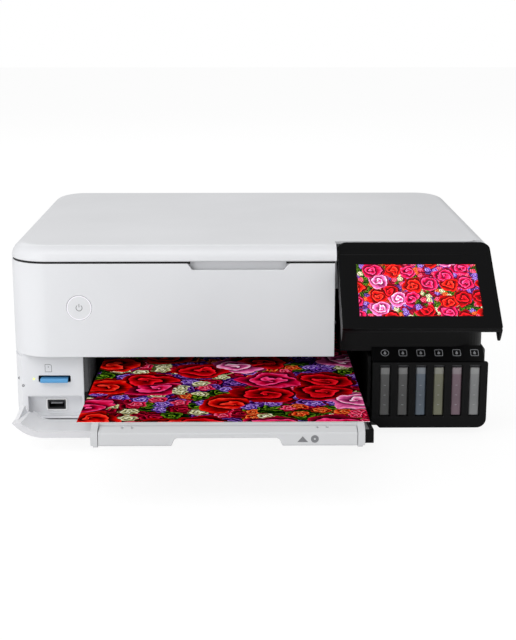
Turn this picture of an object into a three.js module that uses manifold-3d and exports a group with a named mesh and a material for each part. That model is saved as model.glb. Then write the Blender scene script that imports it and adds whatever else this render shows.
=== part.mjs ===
// Inkjet all-in-one printer with refillable ink tanks, modelled ready to print:
// output tray out with a sheet on it, front cover down and control panel tilted up.
// Millimetres, +Z up. X runs left to right, the front faces -Y, the feet stand on z = 0.
// Inside this file Y = 0 is the front face of the body; the last group centres the object.

import * as THREE from "three";
import { mergeVertices } from "three/addons/utils/BufferGeometryUtils.js";
import Module from "manifold-3d";

const wasm = await Module();
wasm.setup();

// ---- driving dimensions ----
const HALF_WIDTH = 201.5; // body, 403 wide
const FRONT_REACH = 178; // front of the extended tray, ahead of the body's front
const REAR_END = 370; // back of the body
const TOP = 162;
const LID_BOTTOM = 149.6;
const SCANNER_TOP = 148.4;
const SCANNER_BOTTOM = 120;
const BODY_BOTTOM = 5.5;
const FASCIA_BOTTOM = 68.4;
const FASCIA_RIGHT = 69.5;
const CORNER = 33; // plan radius of the front corners
const REAR_CORNER = 30;
const SKIN = 2.5;
const GAP = 0.3;
const LID_BACK = 311;
const NOTCH_LEFT = 70.5; // lid and scanner are cut away here to clear the panel
const NOTCH_DEPTH = 30;
const BAY = { left: -141.4, right: 101.3 };

// ---- colours ----
const white = { color: 0xdedfe1, roughness: 0.45, metalness: 0 };
const black = { color: 0x131314, roughness: 0.5, metalness: 0 };
const darkGrey = { color: 0x2c2c2e, roughness: 0.6, metalness: 0 };
const glossBlack = { color: 0x060607, roughness: 0.12, metalness: 0 };
const steel = { color: 0xb4b6b8, roughness: 0.35, metalness: 1 };
const rubber = { color: 0x1c1c1c, roughness: 0.9, metalness: 0 };
const clear = { color: 0x8c9094, roughness: 0.2, metalness: 0 };
const paper = { color: 0xf2f0ee, roughness: 0.4, metalness: 0 };
const blue = { color: 0x4a90cc, roughness: 0.5, metalness: 0 };
const green = { color: 0x1d5a33, roughness: 0.6, metalness: 0 };

// ---- solids ----
function solid(geometry) {
  const bare = geometry.index ? geometry.clone() : geometry;
  bare.deleteAttribute("normal");
  bare.deleteAttribute("uv");
  const merged = mergeVertices(bare, 1e-4);
  const vertProperties = new Float32Array(merged.attributes.position.array);
  const triVerts = new Uint32Array(merged.index.array);
  return new wasm.Manifold(new wasm.Mesh({ numProp: 3, vertProperties, triVerts }));
}

function box(x0, x1, y0, y1, z0, z1) {
  const geometry = new THREE.BoxGeometry(x1 - x0, y1 - y0, z1 - z0);
  geometry.translate((x0 + x1) / 2, (y0 + y1) / 2, (z0 + z1) / 2);
  return solid(geometry);
}

function outline(points) {
  return new THREE.Shape(points.map(([a, b]) => new THREE.Vector2(a, b)));
}

// Extrudes a shape along X, its own two axes being Y and Z.
function alongX(shape, x0, x1, segments = 8) {
  const geometry = new THREE.ExtrudeGeometry(shape, {
    depth: x1 - x0, bevelEnabled: false, curveSegments: segments,
  });
  const turn = new THREE.Matrix4().makeBasis(
    new THREE.Vector3(0, 1, 0), new THREE.Vector3(0, 0, 1), new THREE.Vector3(1, 0, 0));
  geometry.applyMatrix4(turn);
  geometry.translate(x0, 0, 0);
  return solid(geometry);
}

// Extrudes a shape along Y, its own two axes being X and Z.
function alongY(shape, y0, y1, segments = 8) {
  const geometry = new THREE.ExtrudeGeometry(shape, {
    depth: y1 - y0, bevelEnabled: false, curveSegments: segments,
  });
  const turn = new THREE.Matrix4().makeBasis(
    new THREE.Vector3(1, 0, 0), new THREE.Vector3(0, 0, 1), new THREE.Vector3(0, -1, 0));
  geometry.applyMatrix4(turn);
  geometry.translate(0, y1, 0);
  return solid(geometry);
}

function alongZ(shape, z0, z1, segments = 8) {
  const geometry = new THREE.ExtrudeGeometry(shape, {
    depth: z1 - z0, bevelEnabled: false, curveSegments: segments,
  });
  geometry.translate(0, 0, z0);
  return solid(geometry);
}

function disc(radius) {
  return new THREE.Shape().absarc(0, 0, radius, 0, Math.PI * 2);
}

// A cylinder along one axis, centred on the other two.
function rod(axis, from, to, [a, b], radius, segments = 10) {
  const make = { x: alongX, y: alongY, z: alongZ }[axis];
  const shift = { x: [0, a, b], y: [a, 0, b], z: [a, b, 0] }[axis];
  return make(disc(radius), from, to, segments).translate(shift);
}

// A rectangle with its own radius at each corner: front left, front right, back right, back left.
function rounded(x0, x1, y0, y1, [frontLeft, frontRight, backRight, backLeft]) {
  const shape = new THREE.Shape();
  const quarter = Math.PI / 2;
  shape.moveTo(x0 + frontLeft, y0);
  shape.lineTo(x1 - frontRight, y0);
  if (frontRight) shape.absarc(x1 - frontRight, y0 + frontRight, frontRight, -quarter, 0);
  shape.lineTo(x1, y1 - backRight);
  if (backRight) shape.absarc(x1 - backRight, y1 - backRight, backRight, 0, quarter);
  shape.lineTo(x0 + backLeft, y1);
  if (backLeft) shape.absarc(x0 + backLeft, y1 - backLeft, backLeft, quarter, 2 * quarter);
  shape.lineTo(x0, y0 + frontLeft);
  if (frontLeft) shape.absarc(x0 + frontLeft, y0 + frontLeft, frontLeft, 2 * quarter, 3 * quarter);
  return shape;
}

// The body's plan at a distance inside its outer skin.
function bodyPlan(inset, z0, z1) {
  const front = CORNER - inset;
  const back = REAR_CORNER - inset;
  const shape = rounded(-HALF_WIDTH + inset, HALF_WIDTH - inset, inset, REAR_END - inset,
    [front, front, back, back]);
  return alongZ(shape, z0, z1, 6);
}

// A wall that follows the body's plan.
function bodySkin(z0, z1, thickness = SKIN, inset = 0) {
  return bodyPlan(inset, z0, z1).subtract(bodyPlan(inset + thickness, z0 - 1, z1 + 1));
}

function geometryOf(body) {
  const mesh = body.getMesh();
  const geometry = new THREE.BufferGeometry();
  geometry.setAttribute("position", new THREE.BufferAttribute(mesh.vertProperties, 3));
  geometry.setIndex(new THREE.BufferAttribute(mesh.triVerts, 1));
  geometry.computeVertexNormals();
  return geometry;
}

const printer = new THREE.Group();

function add(name, body, finish, parent = printer) {
  const mesh = new THREE.Mesh(geometryOf(body), new THREE.MeshStandardMaterial(finish));
  mesh.name = name;
  parent.add(mesh);
  return mesh;
}

// ---- base, feet and outer covers ----
const FOOT = { x: 168, front: 60, back: 320, radius: 9, height: 5.2 };
const BASE = { front: 19, back: 355, floor: 9 };

function makeBase() {
  const inset = SKIN + 0.5;
  let base = bodyPlan(inset, BODY_BOTTOM, BASE.floor);
  base = base.subtract(box(-HALF_WIDTH, 101.5, -1, BASE.front, 0, 20));
  base = base.subtract(box(100, HALF_WIDTH, -1, 8, 0, 20));
  base = base.subtract(box(186, HALF_WIDTH, -1, 26, 0, 20));
  base = base.subtract(box(-HALF_WIDTH, HALF_WIDTH, BASE.back, REAR_END + 1, 0, 20));
  for (const x of [-150, 104]) {
    base = base.add(box(x, x + 3, 130, 340, BASE.floor - 1, 60));
  }
  add("base_frame", base, darkGrey);
  for (const [side, x] of [["left", -FOOT.x], ["right", FOOT.x]]) {
    for (const [end, y] of [["front", FOOT.front], ["rear", FOOT.back]]) {
      add(`foot_${end}_${side}`, rod("z", 0, FOOT.height, [x, y], FOOT.radius), rubber);
    }
  }
}

const COVER_JOIN = 12.6; // front edge of the left cover, where the front cover's wrap ends
const SIDE_END = 311.5;
const RIGHT_COVER_FRONT = 60.5;

function makeSideCovers() {
  const top = SCANNER_BOTTOM - 0.5;
  const wall = bodySkin(BODY_BOTTOM, top);
  const left = wall
    .intersect(box(-HALF_WIDTH - 1, -150, COVER_JOIN, SIDE_END, 0, TOP))
    .subtract(box(-HALF_WIDTH - 1, -150, 0, 42.5, FASCIA_BOTTOM - 2, TOP));
  add("left_cover", left, white);
  const right = wall.intersect(box(150, HALF_WIDTH + 1, RIGHT_COVER_FRONT, SIDE_END, 0, TOP));
  add("right_cover", right, white);
}

const BUTTON = { x: -142.5, z: 110.7, radius: 10 };
const HANDLE = { top: [-52.8, 32.4], bottom: [-48.5, 27.1], depth: 5.3 };
const FASCIA_TOP = 147.8;

function makeFascia() {
  let fascia = bodySkin(FASCIA_BOTTOM, FASCIA_TOP, 2.6);
  fascia = fascia.intersect(box(-HALF_WIDTH - 1, FASCIA_RIGHT, -1, 40, 0, TOP));
  fascia = fascia.add(box(FASCIA_RIGHT - 2.6, FASCIA_RIGHT, 1, 24, FASCIA_BOTTOM, FASCIA_TOP - 1));
  fascia = fascia.add(box(-150, FASCIA_RIGHT - 1, 1, 6, FASCIA_BOTTOM, FASCIA_BOTTOM + 2));
  const notch = outline([
    [HANDLE.bottom[0], FASCIA_TOP - HANDLE.depth], [HANDLE.bottom[1], FASCIA_TOP - HANDLE.depth],
    [HANDLE.top[1], FASCIA_TOP + 1], [HANDLE.top[0], FASCIA_TOP + 1],
  ]);
  fascia = fascia.subtract(alongY(notch, -1, 10));
  fascia = fascia.subtract(rod("y", -1, 10, [BUTTON.x, BUTTON.z], BUTTON.radius + 0.4, 16));
  add("front_fascia", fascia, white);
  const cap = rod("y", 0, 2.2, [BUTTON.x, BUTTON.z], BUTTON.radius, 16);
  const stem = rod("y", 2, 7, [BUTTON.x, BUTTON.z], 3, 8);
  add("power_button", cap.add(stem), white);
}

// ---- rear housing with the sheet feeder ----
const FEED = { left: -147, right: 115, front: 327, back: 352 };
const REAR_TOP = 147;
const REAR_LEDGE = 132; // height of the step that leaves room for the opening lid
const DUPLEX = { left: -110, right: 96, bottom: 34, top: 112, depth: 28 };
const WASTE = { left: 118, right: 168, bottom: 16, top: 52, depth: 70 };
const INLET = { x: -160, z: 30, width: 27, height: 20, depth: 22 };

function makeRear() {
  const profile = outline([
    [SIDE_END + 1, BODY_BOTTOM], [REAR_END, BODY_BOTTOM], [REAR_END, REAR_LEDGE], [356, REAR_TOP],
    [FEED.front - 2, REAR_TOP], [FEED.front - 2, REAR_LEDGE], [SIDE_END + 1, REAR_LEDGE],
  ]);
  const block = alongX(profile, -HALF_WIDTH, HALF_WIDTH).intersect(bodyPlan(0, 0, TOP));
  const corePlan = bodyPlan(SKIN, 0, TOP);
  const coreProfile = outline([
    [SIDE_END - 5, BODY_BOTTOM - 1], [REAR_END - SKIN, BODY_BOTTOM - 1],
    [REAR_END - SKIN, REAR_LEDGE - 1], [355, REAR_TOP - SKIN], [FEED.front + 0.5, REAR_TOP - SKIN],
    [FEED.front + 0.5, REAR_LEDGE - SKIN], [SIDE_END - 5, REAR_LEDGE - SKIN],
  ]);
  const core = alongX(coreProfile, -HALF_WIDTH, HALF_WIDTH).intersect(corePlan);
  let rear = block.subtract(core);
  rear = rear.subtract(box(FEED.left, FEED.right, FEED.front, FEED.back, 120, TOP));
  rear = rear.subtract(box(DUPLEX.left - GAP, DUPLEX.right + GAP, 360, 371,
    DUPLEX.bottom - GAP, DUPLEX.top + GAP));
  rear = rear.subtract(box(WASTE.left - GAP, WASTE.right + GAP, 360, 371,
    WASTE.bottom - GAP, WASTE.top + GAP));
  rear = rear.subtract(box(INLET.x - INLET.width / 2 - GAP, INLET.x + INLET.width / 2 + GAP, 360, 371,
    INLET.z - INLET.height / 2 - GAP, INLET.z + INLET.height / 2 + GAP));
  add("rear_housing", rear, white);

  const duplex = box(DUPLEX.left, DUPLEX.right, REAR_END - DUPLEX.depth, REAR_END,
    DUPLEX.bottom, DUPLEX.top)
    .subtract(box(DUPLEX.left + 6, DUPLEX.right - 6, REAR_END - DUPLEX.depth - 1, REAR_END - SKIN,
      DUPLEX.bottom + 6, DUPLEX.top - 6));
  add("duplex_cover", duplex, darkGrey);

  const waste = box(WASTE.left, WASTE.right, REAR_END - WASTE.depth, REAR_END,
    WASTE.bottom, WASTE.top)
    .subtract(box(WASTE.left + 4, WASTE.right - 4, REAR_END - WASTE.depth + 4, REAR_END - 6,
      WASTE.bottom + 3, WASTE.top + 1));
  add("maintenance_box", waste, black);

  const body = box(INLET.x - INLET.width / 2, INLET.x + INLET.width / 2,
    REAR_END - INLET.depth, REAR_END, INLET.z - INLET.height / 2, INLET.z + INLET.height / 2);
  let inlet = body.subtract(box(INLET.x - 10, INLET.x + 10, REAR_END - 17, REAR_END + 1,
    INLET.z - 5.5, INLET.z + 5.5));
  for (const x of [-4.5, 4.5]) {
    inlet = inlet.add(rod("y", REAR_END - 18, REAR_END - 3, [INLET.x + x, INLET.z], 1.2, 6));
  }
  add("ac_inlet", inlet, black);
}

const SUPPORT = { left: -132, right: 100, y: 338.5, tilt: 12 * Math.PI / 180 };

function makeFeeder() {
  const guard = box(FEED.left + 1, FEED.right - 1, FEED.front + 0.6, FEED.front + 8.5,
    REAR_TOP - 2.4, REAR_TOP - 0.4);
  add("feeder_guard", guard, white);

  // The plate leans back and slides up out of the slot; its cap closes the slot when it is down.
  const group = new THREE.Group();
  group.position.set(0, SUPPORT.y, REAR_TOP - 0.6);
  group.rotation.x = -SUPPORT.tilt;
  printer.add(group);
  let plate = box(SUPPORT.left, SUPPORT.right, 0, 2.4, -78, -2);
  plate = plate.add(box(SUPPORT.left + 16, SUPPORT.right - 16, 2, 4, -74, -4));
  plate = plate.add(box(SUPPORT.left - 12, SUPPORT.right + 12, -1.5, 10, -3, 0));
  add("paper_support", plate, white, group);
  for (const [name, sign] of [["edge_guide_left", -1], ["edge_guide_right", 1]]) {
    const x = (SUPPORT.left + SUPPORT.right) / 2 + sign * 109;
    let guide = box(x - 1.5, x + 1.5, -9, -0.4, -74, -22);
    guide = guide.add(box(Math.min(x, x - sign * 18), Math.max(x, x - sign * 18),
      -2.2, -0.4, -74, -30));
    add(name, guide, darkGrey, group);
  }
}

// ---- scanner and lid ----
const GLASS = { left: -158, right: 152, front: 52, back: 278, thickness: 2.6 };
const LID_RADIUS = 9;

// The top unit's plan, cut away at the front right for the control panel.
function topPlan(front, left, z0, z1) {
  const shape = rounded(left, HALF_WIDTH, front, LID_BACK,
    [CORNER - front, CORNER, REAR_CORNER, REAR_CORNER]);
  return alongZ(shape, z0, z1, 6);
}

function makeScanner() {
  const front = 6.2;
  let housing = topPlan(front, -HALF_WIDTH, SCANNER_BOTTOM, SCANNER_TOP);
  const corner = topPlan(front, -HALF_WIDTH + 3, SCANNER_BOTTOM - 1, SCANNER_TOP + 1);
  const frontPart = box(-HALF_WIDTH - 1, HALF_WIDTH + 1, 0, 43, 0, TOP);
  housing = housing.subtract(frontPart).add(housing.intersect(corner).intersect(frontPart));
  housing = housing.subtract(box(NOTCH_LEFT - 5, HALF_WIDTH + 1, 0, NOTCH_DEPTH, 0, TOP));
  const deck = SCANNER_TOP - 3;
  const cavity = box(GLASS.left - 14, GLASS.right + 14, GLASS.front - 10, GLASS.back + 8,
    SCANNER_BOTTOM + 3, deck);
  const window = box(GLASS.left, GLASS.right, GLASS.front, GLASS.back, deck - 1, TOP);
  housing = housing.subtract(cavity).subtract(window);
  add("scanner_housing", housing, white);

  const glass = box(GLASS.left + GAP, GLASS.right - GAP, GLASS.front + GAP, GLASS.back - GAP,
    SCANNER_TOP - GLASS.thickness, SCANNER_TOP - 0.2);
  add("scanner_glass", glass, clear);

  let bar = box(GLASS.left - 10, GLASS.left + 12, GLASS.front - 6, GLASS.back + 4,
    SCANNER_BOTTOM + 5, deck - 4);
  bar = bar.subtract(box(GLASS.left - 2, GLASS.left + 4, GLASS.front, GLASS.back - 2,
    deck - 10, deck));
  add("scan_carriage", bar, black);
}

function makeLid() {
  const shape = rounded(-HALF_WIDTH, HALF_WIDTH, 0, LID_BACK,
    [CORNER, CORNER, REAR_CORNER, REAR_CORNER]);
  const slab = new THREE.ExtrudeGeometry(shape, {
    depth: TOP - LID_BOTTOM, curveSegments: 7, bevelThickness: LID_RADIUS,
    bevelSize: LID_RADIUS, bevelOffset: -LID_RADIUS, bevelSegments: 4,
  });
  slab.translate(0, 0, LID_BOTTOM - LID_RADIUS);
  let lid = solid(slab).intersect(box(-210, 210, -5, 320, LID_BOTTOM, TOP + 1));
  lid = lid.subtract(box(NOTCH_LEFT, HALF_WIDTH + 1, -1, NOTCH_DEPTH, 0, TOP + 1));
  lid = lid.subtract(box(-186, 186, 36, 292, LID_BOTTOM - 1, TOP - 3));
  add("document_cover", lid, white);
  const mat = box(GLASS.left - 16, GLASS.right + 16, GLASS.front - 12, GLASS.back + 8,
    SCANNER_TOP + 0.4, TOP - 3 - GAP);
  add("document_mat", mat, paper);
}

// ---- control panel: built face up in its own group, then tilted about its hinge ----
const PANEL = {
  left: 72, right: 199, height: 94, plate: 5, depth: 16, cheek: 17.5,
  hingeY: 10, hingeZ: 142.4, hingeDown: 19.6, hingeBack: 10, tilt: 54 * Math.PI / 180,
};
const SCREEN = { left: 86.4, right: 185.2, top: 24.8, bottom: 81.1 };
const PIN = 2.5;

function makePanel() {
  // In this group Y is the depth behind the face and Z is measured from the hinge.
  const group = new THREE.Group();
  group.position.set(0, PANEL.hingeY, PANEL.hingeZ);
  group.rotation.x = -PANEL.tilt;
  printer.add(group);
  const top = PANEL.hingeDown;
  const bottom = top - PANEL.height;
  const face = -PANEL.hingeBack;
  const skin = 2.4;

  let plate = alongY(roundedFace(PANEL.left, PANEL.right, bottom, top, 7), face, face + skin);
  plate = plate.subtract(box(SCREEN.left, SCREEN.right, face - 1, face + 4,
    top - SCREEN.bottom, top - SCREEN.top));
  add("touch_panel", plate, glossBlack, group);
  const screen = box(SCREEN.left + GAP, SCREEN.right - GAP, face + 0.4, face + skin,
    top - SCREEN.bottom + GAP, top - SCREEN.top - GAP);
  add("lcd_screen", screen, glossBlack, group);

  const back = face + skin + 0.2;
  let shell = box(PANEL.left, PANEL.right, back, face + PANEL.plate, bottom, top - 1);
  const deep = [PANEL.left + 6, PANEL.right - 6];
  const room = { top: top - 3, bottom: top - 44 };
  shell = shell.add(box(deep[0], deep[1], back, face + PANEL.depth, room.bottom, room.top));
  shell = shell.subtract(box(deep[0] + 2, deep[1] - 2, face + PANEL.plate, 20,
    room.bottom + 2, room.top - 2));
  const cheek = outline([
    [back, top - 2], [face + 12, top - 6], [face + PANEL.cheek, bottom + 8],
    [face + PANEL.cheek, bottom + 1], [face + 12, bottom], [back, bottom],
  ]);
  for (const x of [PANEL.left, PANEL.right - 2]) {
    shell = shell.add(alongX(cheek, x, x + 2));
  }
  for (const x of KNUCKLES) {
    shell = shell.add(rod("x", x, x + 10, [0, 0], 4.4, 8).add(
      box(x, x + 10, face + PANEL.plate - 0.5, 0, -4, 4)));
  }
  shell = shell.subtract(rod("x", PANEL.left + 9, PANEL.right - 9, [0, 0], PIN + GAP, 8));
  add("panel_housing", shell, black, group);
}

const KNUCKLES = [94, 167];

function roundedFace(x0, x1, z0, z1, radius) {
  return rounded(x0, x1, z0, z1, [0, 0, radius, radius]);
}

// ---- black housing of the ink tanks, below and behind the control panel ----
const TANK_RIGHT = 199.5;
const WALL = { left: 75, front: 13, radius: 29, top: 114, back: 27.5 };
const SHELF = { frontZ: 64, backZ: 74 };

function makeTankHousing() {
  const ring = (inset, z0, z1) => alongZ(rounded(WALL.left + inset, TANK_RIGHT - inset,
    WALL.front + inset, 90, [0, WALL.radius - inset, 0, 0]), z0, z1, 6);
  let housing = ring(0, SHELF.backZ - 4, WALL.top).subtract(ring(SKIN, 0, TOP));
  housing = housing.intersect(box(WALL.left, 210, 0, RIGHT_COVER_FRONT - 0.8, 0, TOP));
  const left = box(WALL.left, WALL.left + SKIN, WALL.front, 40, SHELF.backZ - 4, WALL.top);
  housing = housing.add(left);
  const roof = ring(0, WALL.top - SKIN, WALL.top).intersect(box(0, 210, 0, WALL.back, 0, TOP));
  housing = housing.add(roof);
  const rise = box(WALL.left, 197, WALL.back - SKIN, WALL.back, WALL.top - SKIN, 138);
  housing = housing.add(rise.intersect(ring(0, 0, TOP)));
  const sideRise = ring(0, WALL.top - 1, SCANNER_BOTTOM - 0.5).subtract(ring(SKIN, 0, TOP))
    .intersect(box(190, 210, WALL.back - 1, RIGHT_COVER_FRONT - 0.8, 0, TOP));
  housing = housing.add(sideRise);
  const shelf = outline([
    [0.4, SHELF.frontZ], [4.4, SHELF.frontZ], [WALL.front + 1, SHELF.backZ - 3.5],
    [WALL.front + 1, SHELF.backZ + 0.2],
  ]);
  housing = housing.add(alongX(shelf, BAY.right + 0.4, 196));
  const lower = (inset) => alongZ(rounded(BAY.right + 0.4, TANK_RIGHT + 1.5 - inset, 6 + inset, 90,
    [0, 24 - inset, 0, 0]), BODY_BOTTOM, SHELF.frontZ + 3, 6);
  const skirt = lower(0).subtract(lower(SKIN))
    .intersect(box(195, 210, 9, RIGHT_COVER_FRONT - 0.8, 0, TOP));
  housing = housing.add(skirt);
  housing = housing.add(box(197.3, 199.6, 40, RIGHT_COVER_FRONT - 1, SHELF.frontZ, SHELF.backZ));
  for (const x of BRACKETS) {
    const arm = outline([[WALL.back - 1, 123], [WALL.back - 1, 133], [12, 145.5], [7.5, 139.8]]);
    housing = housing.add(alongX(arm, x, x + 4));
    housing = housing.add(rod("x", x, x + 4, [PANEL.hingeY, PANEL.hingeZ], 4.2, 8));
  }
  housing = housing.subtract(rod("x", WALL.left, 198, [PANEL.hingeY, PANEL.hingeZ], PIN + GAP, 8));
  add("tank_housing", housing, black);
  const pin = rod("x", BRACKETS[0] - 2, BRACKETS[1] + 6, [PANEL.hingeY, PANEL.hingeZ], PIN, 8);
  add("panel_hinge_pin", pin, steel);
}

const BRACKETS = [86, 181];

// ---- ink tanks ----
const INKS = 6;
const INK_PITCH = 15.13;
const INK_FIRST = 112.8; // middle of the first window
const WINDOW = { width: 9, bottom: 16, top: 60.6 };
const WINDOW_COVER = { left: 101.8, right: 199.2, top: 63.4 };
const TANK = { left: 103.6, right: 194.6, front: 4.6, back: 92, bottom: 10, top: 60 };
const CAP = { y: 62, radius: 5.6, armEnd: 80, z: 60.4 };

const inkX = (index) => INK_FIRST + index * INK_PITCH;

function makeTanks() {
  const { left, right, top } = WINDOW_COVER;
  let cover = alongY(roundedBase(left, right, BODY_BOTTOM, top, 6), 0, 4);
  for (let ink = 0; ink < INKS; ink += 1) {
    const x = inkX(ink);
    cover = cover.subtract(box(x - WINDOW.width / 2, x + WINDOW.width / 2, -1, 6,
      WINDOW.bottom, WINDOW.top));
  }
  add("tank_window_cover", cover, black);

  const block = box(TANK.left, TANK.right, TANK.front, TANK.back, TANK.bottom, TANK.top);
  add("ink_tank_block", block, clear);
  for (let ink = 0; ink < INKS; ink += 1) {
    const cap = rod("z", 0, 5, [0, 0], CAP.radius, 10)
      .add(box(-2.5, 2.5, 4, CAP.armEnd - CAP.y, 0, 2));
    const mesh = add(`tank_cap_${ink + 1}`, cap, black);
    mesh.position.set(inkX(ink), CAP.y, CAP.z);
  }
}

function roundedBase(x0, x1, z0, z1, radius) {
  return rounded(x0, x1, z0, z1, [radius, radius, 0, 0]);
}

// ---- card slot and front port ----
const PORTS = { left: -189.5, right: -141.8, top: 66.4, ledge: 33, bottom: 14, face: 10, low: 18 };
const CARD = { left: -177.6, right: -155.2, z: 46.6, thickness: 2.4 };
const USB = { x: -166.5, z: 21.8, width: 15, height: 8 };

function makePorts() {
  const profile = outline([
    [PORTS.face, PORTS.top], [PORTS.face, PORTS.ledge], [PORTS.low, PORTS.ledge],
    [PORTS.low, PORTS.bottom], [PORTS.low + 2.5, PORTS.bottom],
    [PORTS.low + 2.5, PORTS.ledge + 2.5], [PORTS.face + 2.5, PORTS.ledge + 2.5],
    [PORTS.face + 2.5, PORTS.top],
  ]);
  let panel = alongX(profile, PORTS.left, PORTS.right);
  panel = panel.add(box(PORTS.right - 2.4, PORTS.right, 8, 20, PORTS.bottom, PORTS.top));
  panel = panel.subtract(box(CARD.left - 2.2, CARD.right + 2.2, 0, 14,
    CARD.z - 2.4, CARD.z + 2.8));
  panel = panel.subtract(box(USB.x - USB.width / 2 - GAP, USB.x + USB.width / 2 + GAP, 10, 24,
    USB.z - USB.height / 2 - GAP, USB.z + USB.height / 2 + GAP));
  add("card_port_panel", panel, white);
  const card = box(CARD.left, CARD.right, 8.2, 38, CARD.z - CARD.thickness / 2,
    CARD.z + CARD.thickness / 2);
  add("memory_card", card, blue);
  let usb = box(USB.x - USB.width / 2, USB.x + USB.width / 2, PORTS.low - 0.6, 34,
    USB.z - USB.height / 2, USB.z + USB.height / 2);
  usb = usb.subtract(box(USB.x - 6, USB.x + 6, 10, 30, USB.z - 2.4, USB.z + 2.4));
  usb = usb.add(box(USB.x - 5, USB.x + 5, 21, 31, USB.z + 0.2, USB.z + 1.8));
  add("usb_port", usb, steel);
}

// ---- front cover, hinged low at the front; its left end wraps the body's corner ----
const COVER = {
  left: -194.2, join: 70, right: 99.5, bottom: BODY_BOTTOM, top: 67, thickness: 5.5,
  hingeY: 7, hingeZ: 13.5, open: 82.5 * Math.PI / 180,
};

function makeFrontCover() {
  const group = new THREE.Group();
  group.position.set(0, COVER.hingeY, COVER.hingeZ);
  group.rotation.x = COVER.open;
  printer.add(group);
  const shift = [0, -COVER.hingeY, -COVER.hingeZ];

  let cover = bodySkin(COVER.bottom, COVER.top, 4)
    .intersect(box(COVER.left, COVER.join - 0.4, -1, COVER_JOIN - 0.4, 0, TOP));
  cover = cover.subtract(box(COVER.left - 1, -184, -1, 20, 0, 17));
  cover = cover.add(box(-166, COVER.join - 0.4, 3, COVER.thickness, COVER.bottom, COVER.top));
  add("front_cover", cover.translate(shift), white, group);

  let end = box(COVER.join, COVER.right, 0, COVER.thickness + 0.8, COVER.bottom, COVER.top);
  end = end.add(box(COVER.join, COVER.right, -5, 1, COVER.top - 6, COVER.top));
  end = end.subtract(box(COVER.join + 3, COVER.right - 3, 3, 8, COVER.bottom + 3, COVER.top - 3));
  add("front_cover_end", end.translate(shift), black, group);
}

// ---- output tray with its stopper and the printed sheet ----
const TRAY = { left: -114.6, right: 80, front: -165.6, back: 112, thickness: 3, slope: 0.0297 };
const STOPPER = { front: -FRONT_REACH, back: -167, top: 61.8, bottom: 51.4 };
const POST = { width: 5, top: 61.6, bottom: 50.2 };
const SHEET = { left: -125.7, width: 210, length: 297, front: -165.2, thickness: 0.4 };
const trayTop = (y) => 64.9 - TRAY.slope * (y - TRAY.front);

function makeTray() {
  const { left, right, front, back, thickness } = TRAY;
  const plateProfile = outline([
    [front, trayTop(front)], [front, trayTop(front) - thickness],
    [back, trayTop(back) - thickness], [back, trayTop(back)],
  ]);
  let tray = alongX(plateProfile, left, right);
  const lip = outline([
    [front, 65], [front, 55.5], [STOPPER.back + 0.6, 55.5], [STOPPER.back + 0.6, 61], [front - 0.8, 65],
  ]);
  tray = tray.add(alongX(lip, left, right));
  const postProfile = outline([
    [front - 0.6, 65.2], [STOPPER.front + 4, 63], [STOPPER.front, POST.top],
    [STOPPER.front, POST.bottom + 1.9], [STOPPER.front + 2, POST.bottom],
    [front + 4, POST.bottom], [front + 8, 60], [front + 8, 64],
  ]);
  for (const x of [left, right - POST.width]) {
    const post = alongX(postProfile, x, x + POST.width);
    const rail = outline([
      [front + 6, 62], [front + 6, 54], [back, 50.5], [back, trayTop(back) - 1],
    ]);
    const railLeft = x === left ? left : right - 3;
    tray = tray.add(post).add(alongX(rail, railLeft, railLeft + 3));
  }
  add("output_tray", tray, white);

  const notch = outline([[-57.8, 50], [22, 50], [18, 57.6], [-54.2, 57.6]]);
  const face = outline([
    [STOPPER.front + 1.2, STOPPER.top], [STOPPER.front, STOPPER.top - 1.4],
    [STOPPER.front, STOPPER.bottom + 1], [STOPPER.front + 1, STOPPER.bottom],
    [STOPPER.front + 3.2, STOPPER.bottom], [STOPPER.front + 3.2, STOPPER.top - 2.4],
    [STOPPER.back, STOPPER.top - 0.8], [STOPPER.back, STOPPER.top + 1.6],
  ]);
  let stopper = alongX(face, left + POST.width + 0.4, right - POST.width - 0.4);
  stopper = stopper.subtract(alongY(notch, STOPPER.front - 1, STOPPER.front + 3.3));
  add("tray_stopper", stopper, white);

  const sheetSlope = outline([
    [SHEET.front, trayTop(SHEET.front) + 0.4],
    [SHEET.front + SHEET.length, trayTop(SHEET.front + SHEET.length) + 0.4],
    [SHEET.front + SHEET.length, trayTop(SHEET.front + SHEET.length) + 0.4 + SHEET.thickness],
    [SHEET.front, trayTop(SHEET.front) + 0.4 + SHEET.thickness],
  ]);
  add("printed_sheet", alongX(sheetSlope, SHEET.left, SHEET.left + SHEET.width), paper);
}

// ---- paper cassettes and the bay around them ----
function openTray(x0, x1, y0, y1, z0, z1, wall, floor) {
  return box(x0, x1, y0, y1, z0, z1)
    .subtract(box(x0 + wall, x1 - wall, y0 + 6, y1 - wall, z0 + floor, z1 + 1));
}

function makeCassettes() {
  const lower = openTray(-128, 88, 10, 322, 23.5, 34.5, 3, 2).add(box(-60, 20, 8, 11, 25, 33));
  add("cassette_lower", lower, darkGrey);
  const upper = openTray(-122, 82, 10, 225, 35.4, 44.8, 3, 2).add(box(-60, 20, 8, 11, 36.6, 43.6));
  add("cassette_upper", upper, darkGrey);

  let bay = box(BAY.left, BAY.left + SKIN, 8.4, 125, 18, 66.4);
  bay = bay.add(box(BAY.right - SKIN, BAY.right, 8.4, 125, 18, 66.4));
  bay = bay.add(box(BAY.left, BAY.right, 18.5, 125, 18, 21.5));
  bay = bay.subtract(box(BAY.left - 1, BAY.right + 1, 0, 18.5, 0, 22));
  add("bay_liner", bay, darkGrey);
}

// ---- print mechanism ----
const RAIL = { y: 196, z0: 84, z1: 112 };
const BELT = { y: 222, x: 174, radius: 8, z0: 96, z1: 102 };
const FEED_SHAFT = { y: 236, z: 77, radius: 7, gear: 16, pinion: 4 };
const OUT_SHAFT = { y: 120, z: 75, radius: 5 };

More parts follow.
